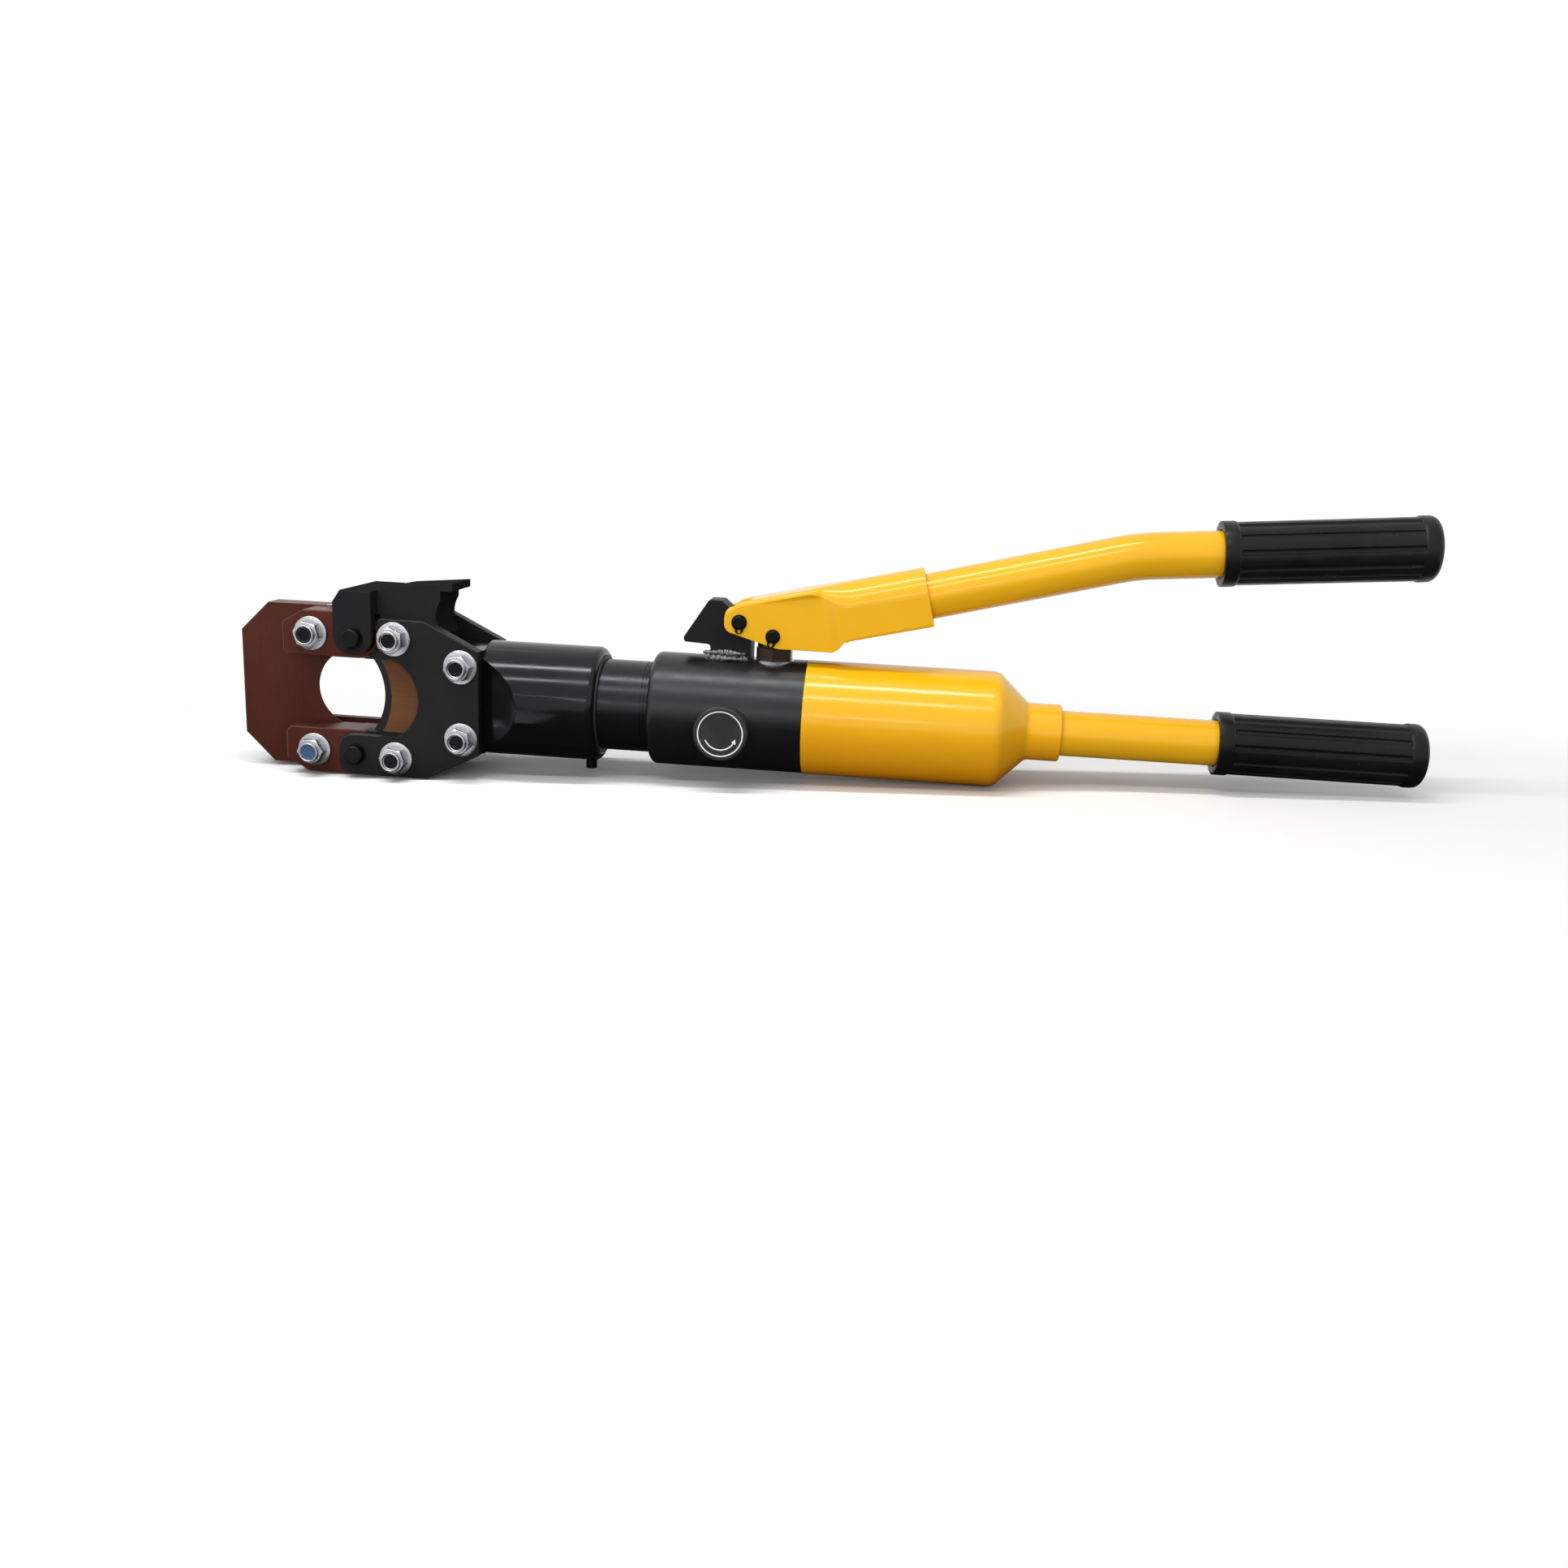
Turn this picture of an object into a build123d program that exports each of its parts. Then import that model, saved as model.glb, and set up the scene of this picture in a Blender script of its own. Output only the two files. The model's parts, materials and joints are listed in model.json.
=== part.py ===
from build123d import *
from math import atan2, cos, degrees, hypot, radians, sin, sqrt, tan
import os

# Hydraulic conductor cutter, millimetres.
# X runs along the tool axis towards the grips, Z is up, Y points away from the viewer.
# The origin is on the tool axis, on the bare barrel between head and pump.

# clearances
seat_fit = 0.05          # pieces that are seated on each other for good
run_fit = 0.1            # pins, shafts and pistons that turn or slide in a bore
slide_gap = 0.3          # flat faces that slide past each other
broken_edge = 0.6        # chamfer that breaks the edges of flat plates

# stations on the tool axis
pump_front_x = 19.8
barrel_bare_length = 32.8
collar_length = 73.6
pump_length = 96.1
reservoir_length = 119.0
cone_length = 20.0
neck_length = 19.4
lower_grip_gap = 93.9    # bare lower tube between neck and grip

barrel_front_x = pump_front_x - barrel_bare_length
collar_front_x = barrel_front_x - collar_length
pump_rear_x = pump_front_x + pump_length
reservoir_end_x = pump_rear_x + reservoir_length
neck_start_x = reservoir_end_x + cone_length
neck_end_x = neck_start_x + neck_length
lower_grip_x = neck_end_x + lower_grip_gap

# yoke: two side plates bolted on the collar's tongue
yoke_gap = 44.0
side_plate_thick = 8.0
plate_half_height = 50.0
plate_rear_half_height = 33.0
plate_slope_length = 34.5
plate_upper_arm_x = collar_front_x - 64.0
plate_lower_arm_x = collar_front_x - 91.4
plate_arm_edge_z = 24.5
plate_opening_x = collar_front_x - 66.7
plate_opening_r = 27.7
plate_corner_r = 9.0
yoke_inner_y = yoke_gap / 2
yoke_outer_y = yoke_inner_y + side_plate_thick
front_bolt_x, front_bolt_z = collar_front_x - 53.4, 38.0
rear_bolt_x, rear_bolt_z = collar_front_x - 11.0, 23.0

# guide blocks between the side plates, above and below the moving blade
guide_wall = 8.8
guide_front_x = collar_front_x - 70.4
guide_rear_x = collar_front_x - 20.4
guide_boss_r = 8.0

# collar
collar_r, collar_rear_r = 36.3, 4.5
tongue_front_x = collar_front_x - 19.9
tongue_slot_half = 14.5
tongue_slot_end_x = collar_front_x + 8.6
ramp_end_x = collar_front_x + 26.6
ramp_front_y = 28.6
rod_wall = 8.0           # collar wall that the ram passes through

# M10 fasteners
bolt_r = 5.0
bolt_hole_r = bolt_r + run_fit
bolt_head_r, bolt_head_height = 8.0, 10.0
bolt_socket_flats, bolt_socket_depth = 8.0, 5.0
nut_flange_r, nut_flange_rim, nut_flange_cone = 10.9, 1.8, 0.9
nut_flats, nut_hex_height = 15.0, 9.0
nut_collar_r, nut_height, nut_collar_bore_r = 6.4, 11.8, 5.6
insert_height = 2.4
bolt_reach = 10.3        # bolt end, measured from the nut's seat

# jaw: fixed blade with link plates in front and behind, hung on the lower pin
fixed_blade_half_height = 52.5
jaw_lug_r = 15.5         # round lug of the fixed blade at each pin
jaw_pin_x, jaw_pin_z = collar_front_x - 80.4, fixed_blade_half_height - jaw_lug_r
jaw_pin_r = 6.0
jaw_half_width = yoke_inner_y - slide_gap
shear_plane_y = 0.2      # front face of the fixed blade
fixed_blade_thick = 16.0
fixed_blade_x = jaw_pin_x - 87.0
fixed_blade_nose_half = 34.0
fixed_blade_chamfer = 18.7
cut_centre_x = jaw_pin_x - 10.1
cut_r = 25.3
cut_bevel = 9.0          # relief behind the fixed cutting edge
link_left_x = jaw_pin_x - 49.0
link_step = 0.5          # the links end a little below the fixed blade
link_half_height = fixed_blade_half_height - link_step
link_gap_half = 23.2     # edges of the links that guide the moving blade
link_corner = 14.0
link_corner_drop = 8.0
link_nick = 3.0
jaw_bolt_x, jaw_bolt_z = jaw_pin_x - 30.0, jaw_pin_z + link_step

# moving blade
blade_front_x = collar_front_x - 65.5
blade_edge_r = 38.8
blade_bevel_x, blade_bevel_y = 6.6, 6.0
blade_body_end_x = collar_front_x - 20.9
blade_tail_half, blade_tail_end_x = 13.0, collar_front_x + 2.6
blade_stroke = 53.0
blade_screw_r, blade_screw_x = 2.5, blade_tail_end_x - 7.0
blade_screw_head_r, blade_screw_head_height = 4.25, 5.0

# latch
latch_left_x, latch_right_x = jaw_pin_x - 12.5, jaw_pin_x + 12.2
latch_top_z, latch_bridge_thick = fixed_blade_half_height + 14.0, 4.5
latch_cheek_bottom_z, latch_cheek_r = jaw_pin_z - 10.3, 10.5
latch_corner = (5.0, 7.5)
latch_tail_half = 18.0
latch_bridge_bottom_z = plate_half_height + 1.5
latch_tail_bottom_z = plate_half_height - 1.0
latch_tail_step_x = latch_right_x + 1.5
latch_tail_rise_x, latch_tail_rise_z = jaw_pin_x + 24.0, latch_top_z + 2.7
latch_tail_top_z = latch_top_z + 6.1
latch_lip_x, latch_lip_thick = jaw_pin_x + 60.2, 4.8
latch_end_x, latch_end_r = jaw_pin_x + 52.5, 20.0
hook_front_x = jaw_pin_x + 36.0
hook_clear = 0.5
latch_range = 22.0
latch_wire_r = 0.7
latch_coil_r, latch_coil_turns, latch_coil_pitch = 3.2, 5, 2.0
latch_coil_x, latch_coil_z = jaw_pin_x - 7.5, fixed_blade_half_height + 4.1
latch_leg_length, latch_leg_y = 15.3, -5.0
latch_top_leg, latch_top_leg_rise = 7.2, 2.0

# ram and barrel
rod_r = 14.0
barrel_r, barrel_bore_r = 28.8, 22.0
barrel_head_x = tongue_slot_end_x + rod_wall + 0.5
barrel_head_wall = 7.5
barrel_thread_depth = 14.0
barrel_line_depth, barrel_line_width = 0.5, 0.7
piston_length, piston_rest_gap = 16.0, 4.0
seal_width, seal_depth = 5.0, 2.5
spring_r, spring_wire_r, spring_turns = 18.0, 1.8, 5.0
swivel_x, swivel_screw_r = barrel_front_x - 8.2, 2.5
swivel_head_r, swivel_head_height = 3.5, 6.0
swivel_groove_depth = 3.0
wiper_r, wiper_width = 31.4, 2.0

# pump body
pump_r, pump_edge_r = 35.6, 4.0
plunger_x, plunger_r = pump_rear_x - 21.4, 8.0
plunger_bore_z = 2.0
valve_ball_r, valve_bore_r, valve_seat_r = 3.6, 4.2, 2.4
suction_z, delivery_z = -20.0, 6.0
valve_wire_r, relief_wire_r, valve_turns = 0.4, 0.6, 5
relief_x = plunger_x - 46.5
spigot_r, spigot_length = 32.7, 14.0
bladder_spigot_r, bladder_spigot_length = 26.9, 9.0
oring_r = 1.6
gland_r, gland_base_z = 10.2, 22.0
gland_washer_r, gland_washer_z, gland_seat_z = 12.9, 31.6, 35.4
gland_flats, gland_top_z = 21.4, 43.2
plunger_head_r, plunger_head_gap = 10.7, 0.5
release_x, release_z = plunger_x - 26.5, -5.5
needle_r, needle_tip_y = 4.5, -4.0
knob_r, knob_height, knob_stand_off, knob_edge = 16.6, 8.2, 0.8, 1.2
knob_dish = 0.4

# handle post, placed from the handle's pivot
pivot_x, pivot_z, pivot_pin_r = plunger_x - 21.1, 59.0, 4.0
post_half = 9.0
post_root_z = 20.0
post_left_x, post_right_x = pivot_x - 18.2, pivot_x + 7.3
post_nose_x, post_nose_z, post_nose_drop = pivot_x - 35.2, 44.4, 3.0
post_top_x0, post_top_x1, post_top_z = pivot_x - 20.0, pivot_x - 11.8, pivot_z + 12.0
post_slope_x, post_slope_drop, post_slope = 4.2, 3.6, 0.845
post_pivot_r = 8.5
weld_width, weld_rise = 3.4, 7.5

# reservoir
reservoir_r = 35.9
neck_r = 17.7
tube_r, tube_wall = 14.0, 2.0
tube_socket = 15.0
bladder_r, bladder_wall, bladder_end_gap = 29.0, 2.0, 12.0

# grips
grip_r, grip_length, grip_end_wall = 19.5, 123.0, 5.0
grip_ring, grip_end_cap, grip_end_round = 13.0, 9.0, 6.0
grip_flutes, grip_flute_depth, grip_flute_r = 12, 1.1, 2.2

# pump handle
plunger_pin_z, plunger_pin_r = pivot_z - 7.6, 3.7
handle_range = 50.0
cheek_out, bracket_wall, bracket_fold_r = 14.6, 2.4, 1.5
box_out = 17.1
bump_x0, bump_x1 = pivot_x + 47.6, pivot_x + 60.6
bracket_nose, bracket_nose_r = 9.4, 6.0
bracket_nose_top_z, bracket_nose_low_z = pivot_z + 7.0, pivot_z - 5.7
bracket_top = (pivot_x - 0.6, pivot_z + 12.1)
bracket_low = (pivot_x + 23.6, pivot_z - 15.1)
bracket_roof_x = pivot_x + 6.0
bracket_step = (pivot_x + 58.6, pivot_z - 15.4)
bracket_under = (pivot_x + 67.6, pivot_z - 7.8)
handle_slope, handle_grip_slope = 14.2, 4.54
handle_axis_x, handle_axis_z = pivot_x + 114.8, pivot_z + 20.8
handle_bend_x, handle_bend_r = pivot_x + 236.7, 130.0
box_half_height, roof_height = 16.9, 18.1
handle_tube_start_x = pivot_x + 69.6
handle_grip_x = handle_bend_x + 48.2
pin_stand, clip_thick, clip_width = 2.6, 1.0, 0.8
clip_groove, clip_slit = 1.0, 0.6
clip_eye, clip_eye_r, clip_eye_hole_r = 3.3, 2.5, 1.1
jaw_pin_stand = 4.8
plunger_top_rise, pin_slot_gap = 9.6, 0.5


# helpers: solids placed by their limits along the three axes
def slab(x0, x1, y0, y1, z0, z1):
    return Pos((x0 + x1) / 2, (y0 + y1) / 2, (z0 + z1) / 2) * Box(x1 - x0, y1 - y0, z1 - z0)


def rod_x(r, x0, x1, y=0.0, z=0.0):
    return Pos((x0 + x1) / 2, y, z) * Rot(0, 90, 0) * Cylinder(r, x1 - x0)


def rod_y(r, y0, y1, x, z):
    return Pos(x, (y0 + y1) / 2, z) * Rot(90, 0, 0) * Cylinder(r, y1 - y0)


def rod_z(r, z0, z1, x, y=0.0):
    return Pos(x, y, (z0 + z1) / 2) * Cylinder(r, z1 - z0)


def cut_plate(sketch, y0, y1):
    # a side-view outline (X, Z) as a plate between two Y limits
    return Pos(0, y1, 0) * extrude(Plane.XZ * sketch, amount=y1 - y0, dir=(0, -1, 0))


def rounded(points, radii):
    # polygon with its corners rounded one by one
    shape = Polygon(*points, align=None)
    for (x, z), r in zip(points, radii):
        if r > 0:
            corner = shape.vertices().sort_by_distance(Vector(x, z, 0))[0]
            shape = fillet(corner, r)
    return shape


def disc(r, x, z):
    return Pos(x, z) * Circle(r)


def block(x0, x1, z0, z1):
    return Pos((x0 + x1) / 2, (z0 + z1) / 2) * Rectangle(x1 - x0, z1 - z0)


def hexagon(flats):
    return RegularPolygon(flats / 2, 6, major_radius=False)


def mirror_z(shape):
    return mirror(shape, about=Plane.XY)


def mirror_y(shape):
    return mirror(shape, about=Plane.XZ)


def cone_y(r0, r1, y0, y1, x, z):
    # r0 at y0, r1 at y1
    return Pos(x, (y0 + y1) / 2, z) * Rot(-90, 0, 0) * Cone(r0, r1, y1 - y0)


def flange_nut(x, z, seat_y):
    # flanged lock nut whose seat faces +Y
    hex_end = seat_y - nut_hex_height
    nut = rod_y(nut_flange_r, seat_y - nut_flange_rim, seat_y, x, z)
    nut += cone_y(nut_flats / 2, nut_flange_r - 0.6, seat_y - nut_flange_rim - nut_flange_cone,
                  seat_y - nut_flange_rim, x, z)
    body = Pos(x, seat_y, z) * Rot(90, 0, 0) * extrude(hexagon(nut_flats), amount=nut_hex_height)
    nut += body & cone_y(nut_flats / 2 + 0.1, nut_flats, hex_end, hex_end + nut_flats / 2, x, z) + (
        body & rod_y(nut_flats, hex_end + nut_flats / 2, seat_y, x, z))
    nut += rod_y(nut_collar_r, seat_y - nut_height, hex_end + 0.5, x, z)
    nut -= rod_y(bolt_r + seat_fit, seat_y - nut_height, seat_y, x, z)
    nut -= rod_y(nut_collar_bore_r, seat_y - nut_height, seat_y - nut_height + insert_height + 0.4, x, z)
    return nut


def nut_insert(x, z, seat_y):
    low = seat_y - nut_height + 0.4
    return rod_y(nut_collar_bore_r - seat_fit, low, low + insert_height, x, z) - rod_y(
        bolt_r + seat_fit, low, low + insert_height, x, z)


def cap_bolt(x, z, head_seat_y, end_y):
    bolt = rod_y(bolt_r, end_y, head_seat_y + 0.5, x, z)
    head = rod_y(bolt_head_r, head_seat_y, head_seat_y + bolt_head_height, x, z)
    bolt += chamfer(head.edges().filter_by(GeomType.CIRCLE).sort_by(Axis.Y)[-1:], 0.8)
    top = head_seat_y + bolt_head_height
    bolt -= Pos(x, top, z) * Rot(90, 0, 0) * extrude(hexagon(bolt_socket_flats), amount=bolt_socket_depth)
    return chamfer(bolt.edges().filter_by(GeomType.CIRCLE).sort_by(Axis.Y)[:1], 0.7)


def pin_with_grooves(x, z, r, end_y, groove_y):
    pin = rod_y(r, -end_y, end_y, x, z)
    pin = chamfer(pin.edges().filter_by(GeomType.CIRCLE), 0.8)
    for side in (-1, 1):
        mid = side * (groove_y + clip_thick / 2)
        half = clip_thick / 2 + seat_fit
        pin -= rod_y(r + 1, mid - half, mid + half, x, z) - rod_y(r - clip_groove, mid - half, mid + half, x, z)
    return pin


def pin_clips(x, z, r, groove_y, turn, eye):
    # open retaining rings, one at each end of a pin, with an eye below the pin if wanted
    ring = Circle(r + clip_width)
    if eye:
        eye_z = clip_eye_r - r - clip_eye
        ring += Polygon((-clip_eye_r, eye_z), (clip_eye_r, eye_z), (r, eye_z / 2), (-r, eye_z / 2), align=None)
        ring += disc(clip_eye_r, 0, eye_z)
        ring -= disc(clip_eye_hole_r, 0, eye_z - clip_width)
    ring -= Circle(r - clip_groove + seat_fit) + block(-clip_slit / 2, clip_slit / 2, -2 * r - clip_eye, 0)
    ring = Rot(0, 0, turn) * ring
    rings = []
    for low in (groove_y, -groove_y - clip_thick):
        rings.append(cut_plate(Pos(x, z) * ring, low, low + clip_thick))
    return rings


def coil_x(x0, x1, r, wire_r, turns):
    # compression spring along X with its ends on x0 and x1
    length = x1 - x0 - 2 * wire_r
    path = Helix(pitch=length / turns, height=length, radius=r)
    start = path @ 0
    section = Plane(origin=start, x_dir=(0, 0, 1), z_dir=path % 0) * Circle(wire_r)
    coil = sweep(section, path=path)
    return Pos(x0 + wire_r, 0, 0) * Rot(0, 90, 0) * coil


def save(name, shape):
    solids = list(shape.solids()) if not isinstance(shape, list) else [s for p in shape for s in p.solids()]
    piece = solids[0] if len(solids) == 1 else Compound(children=solids)
    piece.label = name
    export_step(piece, os.path.join("parts", name + ".step"))
    print(name, len(solids), "solids", round(sum(s.volume for s in solids) / 1000, 2), "cm3")


os.makedirs("parts", exist_ok=True)
for old in os.listdir("parts"):
    if old.endswith(".step"):
        os.remove(os.path.join("parts", old))

bolt_places = [(front_bolt_x, front_bolt_z), (front_bolt_x, -front_bolt_z),
               (rear_bolt_x, rear_bolt_z), (rear_bolt_x, -rear_bolt_z)]
jaw_bolt_places = [(jaw_bolt_x, jaw_bolt_z), (jaw_bolt_x, -jaw_bolt_z)]

# side plates: one outline, cut twice
slope_x = collar_front_x - plate_slope_length
plate = rounded(
    [(plate_lower_arm_x, -plate_half_height), (slope_x, -plate_half_height),
     (collar_front_x, -plate_rear_half_height), (collar_front_x, plate_rear_half_height),
     (slope_x, plate_half_height), (plate_upper_arm_x, plate_half_height),
     (plate_upper_arm_x, -plate_arm_edge_z), (plate_lower_arm_x, -plate_arm_edge_z)],
    [plate_corner_r, 3, 1, 1, 3, 2, 0, plate_corner_r])
plate -= block(plate_upper_arm_x - 30, plate_opening_x + sqrt(plate_opening_r**2 - plate_arm_edge_z**2),
               -plate_arm_edge_z, plate_arm_edge_z)
plate -= disc(plate_opening_r, plate_opening_x, 0)
for x, z in bolt_places:
    plate -= disc(bolt_hole_r, x, z)
plate -= disc(jaw_pin_r + seat_fit, jaw_pin_x, -jaw_pin_z)
front_side_plate = cut_plate(plate, -yoke_outer_y, -yoke_inner_y)
front_side_plate = chamfer(front_side_plate.faces().sort_by(Axis.Y)[0].outer_wire().edges(), broken_edge)
save("front_side_plate", front_side_plate)
save("rear_side_plate", mirror_y(front_side_plate))

# guide blocks: L section, low beside the blade and deeper behind it
blade_half = link_gap_half - slide_gap
blade_rear_y = shear_plane_y - slide_gap
blade_face_y = -yoke_inner_y + slide_gap
guide_top_z = link_gap_half + guide_wall
rod_way = rod_r + 2 * slide_gap
guide_low = block(guide_front_x, guide_rear_x, link_gap_half, guide_top_z)
guide_low += disc(guide_boss_r, front_bolt_x, front_bolt_z)
guide_low += block(front_bolt_x - guide_boss_r, front_bolt_x + guide_boss_r, guide_top_z, front_bolt_z)
guide_deep = block(guide_front_x, guide_rear_x, rod_way, guide_top_z)
opening_cut = disc(plate_opening_r, plate_opening_x, 0)
lug_way = disc(jaw_lug_r + 1, jaw_pin_x, jaw_pin_z)
guide = cut_plate(guide_low - lug_way, -yoke_inner_y, yoke_inner_y)
guide += cut_plate(guide_deep - opening_cut - lug_way, shear_plane_y, yoke_inner_y)
guide -= rod_y(bolt_hole_r, -yoke_inner_y, yoke_inner_y, front_bolt_x, front_bolt_z)
guide = guide.solid()
save("upper_guide_block", guide)
save("lower_guide_block", mirror_z(guide))

# collar with tongue, ramp flats, barrel bore and blade slot
collar = rod_x(collar_r, collar_front_x, barrel_front_x)
collar = fillet(collar.edges().filter_by(GeomType.CIRCLE).sort_by(Axis.X)[-1:], collar_rear_r)
ramp = Polygon((collar_front_x - 1, -ramp_front_y), (ramp_end_x, -collar_r), (ramp_end_x, -collar_r - 5),
               (collar_front_x - 1, -collar_r - 5), align=None)
ramp = Pos(0, 0, -collar_r - 1) * extrude(ramp, amount=2 * collar_r + 2)
collar -= ramp
collar -= mirror_y(ramp)
collar += slab(tongue_front_x, collar_front_x + 1, -yoke_inner_y, yoke_inner_y,
               -plate_rear_half_height, plate_rear_half_height)
collar -= slab(tongue_front_x - 1, tongue_slot_end_x, -yoke_inner_y - slide_gap, yoke_inner_y + slide_gap,
               -tongue_slot_half, tongue_slot_half)
collar_wall_x = tongue_slot_end_x + rod_wall
collar -= rod_x(rod_r + run_fit, tongue_slot_end_x - 1, collar_wall_x + 1)
collar -= rod_x(barrel_r + run_fit, collar_wall_x, barrel_front_x + 1)
collar -= rod_x(wiper_r + seat_fit, barrel_front_x - wiper_width, barrel_front_x + 1)
for side in (-1, 1):
    collar -= rod_y(bolt_hole_r, -yoke_inner_y - 1, yoke_inner_y + 1, rear_bolt_x, side * rear_bolt_z)
collar -= rod_z(swivel_screw_r + seat_fit, -collar_r - 1, -barrel_r + 1, swivel_x)
save("head_collar", collar)

wiper_in = barrel_r + run_fit
save("collar_wiper", rod_x(wiper_r, barrel_front_x - wiper_width, barrel_front_x + 0.8)
     - rod_x(wiper_in, barrel_front_x - wiper_width, barrel_front_x + 0.8))

screw_tip_z = -barrel_r + swivel_groove_depth - 2 * run_fit
swivel = rod_z(swivel_screw_r, -collar_r - 0.5, screw_tip_z, swivel_x)
swivel += rod_z(swivel_head_r, -collar_r - swivel_head_height, -collar_r, swivel_x)
swivel -= Pos(swivel_x, 0, -collar_r - swivel_head_height) * extrude(hexagon(3.0), amount=2.2)
save("swivel_screw", swivel)

# yoke fasteners
save("yoke_bolts", [cap_bolt(x, z, yoke_outer_y, -yoke_outer_y - bolt_reach) for x, z in bolt_places])
save("yoke_nuts", [flange_nut(x, z, -yoke_outer_y) for x, z in bolt_places])
save("yoke_nut_inserts", [nut_insert(x, z, -yoke_outer_y) for x, z in bolt_places])

# pins of the jaw and the latch
clip_y = yoke_outer_y + 0.2
pin_end = yoke_outer_y + jaw_pin_stand
save("hinge_pin", pin_with_grooves(jaw_pin_x, -jaw_pin_z, jaw_pin_r, pin_end, clip_y))
save("hinge_pin_clips", pin_clips(jaw_pin_x, -jaw_pin_z, jaw_pin_r, clip_y, 125, False))
save("latch_pin", pin_with_grooves(jaw_pin_x, jaw_pin_z, jaw_pin_r, pin_end, clip_y))
save("latch_pin_clips", pin_clips(jaw_pin_x, jaw_pin_z, jaw_pin_r, clip_y, 15, False))


# jaw outlines share the lug round each pin
def jaw_outline(left_points, edge_z, lug_r):
    # upper arm of a jaw layer: left contour, straight inner edge, round lug at the pin
    arm = Polygon(*left_points, align=None) + (
        disc(lug_r, jaw_pin_x, jaw_pin_z) - block(jaw_pin_x - 2 * lug_r, jaw_pin_x + 2 * lug_r, -lug_r, edge_z))
    arm -= disc(jaw_pin_r + run_fit, jaw_pin_x, jaw_pin_z)
    return arm - disc(bolt_hole_r, jaw_bolt_x, jaw_bolt_z)


nose_x = fixed_blade_x + fixed_blade_chamfer
blade_arm = jaw_outline(
    [(fixed_blade_x, 0), (cut_centre_x, 0), (cut_centre_x, cut_r), (jaw_pin_x, cut_r),
     (jaw_pin_x, fixed_blade_half_height), (nose_x, fixed_blade_half_height),
     (fixed_blade_x, fixed_blade_nose_half)], cut_r, jaw_lug_r)
blade_sketch = (blade_arm + mirror(blade_arm, about=Plane.XZ)) - disc(cut_r, cut_centre_x, 0)
fixed_rear_y = shear_plane_y + fixed_blade_thick
fixed_blade = cut_plate(blade_sketch, shear_plane_y, fixed_rear_y)
fixed_blade -= cone_y(cut_r, cut_r + cut_bevel, shear_plane_y, fixed_rear_y, cut_centre_x, 0) & slab(
    fixed_blade_x, cut_centre_x, shear_plane_y, fixed_rear_y + 1, -100, 100)
fixed_blade = fixed_blade.solid()
blade_rim = [e for e in fixed_blade.edges().filter_by(GeomType.LINE)
             if e.center().X < nose_x + seat_fit and abs((e % 0.5).Y) < 0.5]
fixed_blade = chamfer(blade_rim, broken_edge)
save("fixed_blade", fixed_blade)

link_lug_r = jaw_pin_z - link_gap_half
link_arm = jaw_outline(
    [(link_left_x + link_nick, link_gap_half), (jaw_pin_x, link_gap_half), (jaw_pin_x, link_half_height),
     (link_left_x + link_corner, link_half_height), (link_left_x, link_half_height - link_corner_drop),
     (link_left_x, link_gap_half + link_nick)], link_gap_half, link_lug_r)
# the lug is trimmed so that the arm stays level with its own top
link_arm += block(jaw_pin_x - 1, jaw_pin_x, jaw_pin_z + jaw_pin_r + 1, link_half_height)
upper_front_link = cut_plate(link_arm, -jaw_half_width, shear_plane_y)
upper_front_link = chamfer(upper_front_link.faces().sort_by(Axis.Y)[0].outer_wire().edges(), broken_edge)
save("upper_front_link", upper_front_link)
save("lower_front_link", mirror_z(upper_front_link))
upper_rear_link = cut_plate(link_arm, fixed_rear_y, jaw_half_width)
save("upper_rear_link", upper_rear_link)
save("lower_rear_link", mirror_z(upper_rear_link))

save("jaw_bolts", [cap_bolt(x, z, jaw_half_width, -jaw_half_width - bolt_reach) for x, z in jaw_bolt_places])
save("jaw_nuts", [flange_nut(x, z, -jaw_half_width) for x, z in jaw_bolt_places])
save("jaw_nut_inserts", [nut_insert(x, z, -jaw_half_width) for x, z in jaw_bolt_places])

# latch: two cheeks on the pin, a bridge over the jaw, a tail with a hook behind the guide boss
cheek = rounded(
    [(latch_left_x, latch_cheek_bottom_z), (latch_right_x, latch_cheek_bottom_z), (latch_right_x, latch_top_z),
     (latch_left_x + latch_corner[0], latch_top_z), (latch_left_x, latch_top_z - latch_corner[1])],
    [latch_cheek_r, latch_cheek_r, 0, 0, 0])
cheek -= disc(jaw_pin_r + run_fit, jaw_pin_x, jaw_pin_z)
cheek_in, cheek_face = yoke_inner_y + slide_gap, yoke_outer_y - slide_gap
latch = cut_plate(cheek, -cheek_face, -cheek_in) + cut_plate(cheek, cheek_in, cheek_face)
bridge_left = latch_left_x + 1.5
bridge = block(bridge_left, latch_right_x, latch_top_z - latch_bridge_thick, latch_top_z)
bridge -= Polygon((latch_left_x - 1, latch_top_z + 1), (latch_left_x - 1, latch_top_z - latch_corner[1] - 1.5),
                  (latch_left_x + latch_corner[0] + 0.67, latch_top_z + 1), align=None)
bridge += block(latch_right_x - 5, latch_right_x, latch_bridge_bottom_z, latch_top_z)
latch += cut_plate(bridge, -cheek_face, cheek_face)
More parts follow.
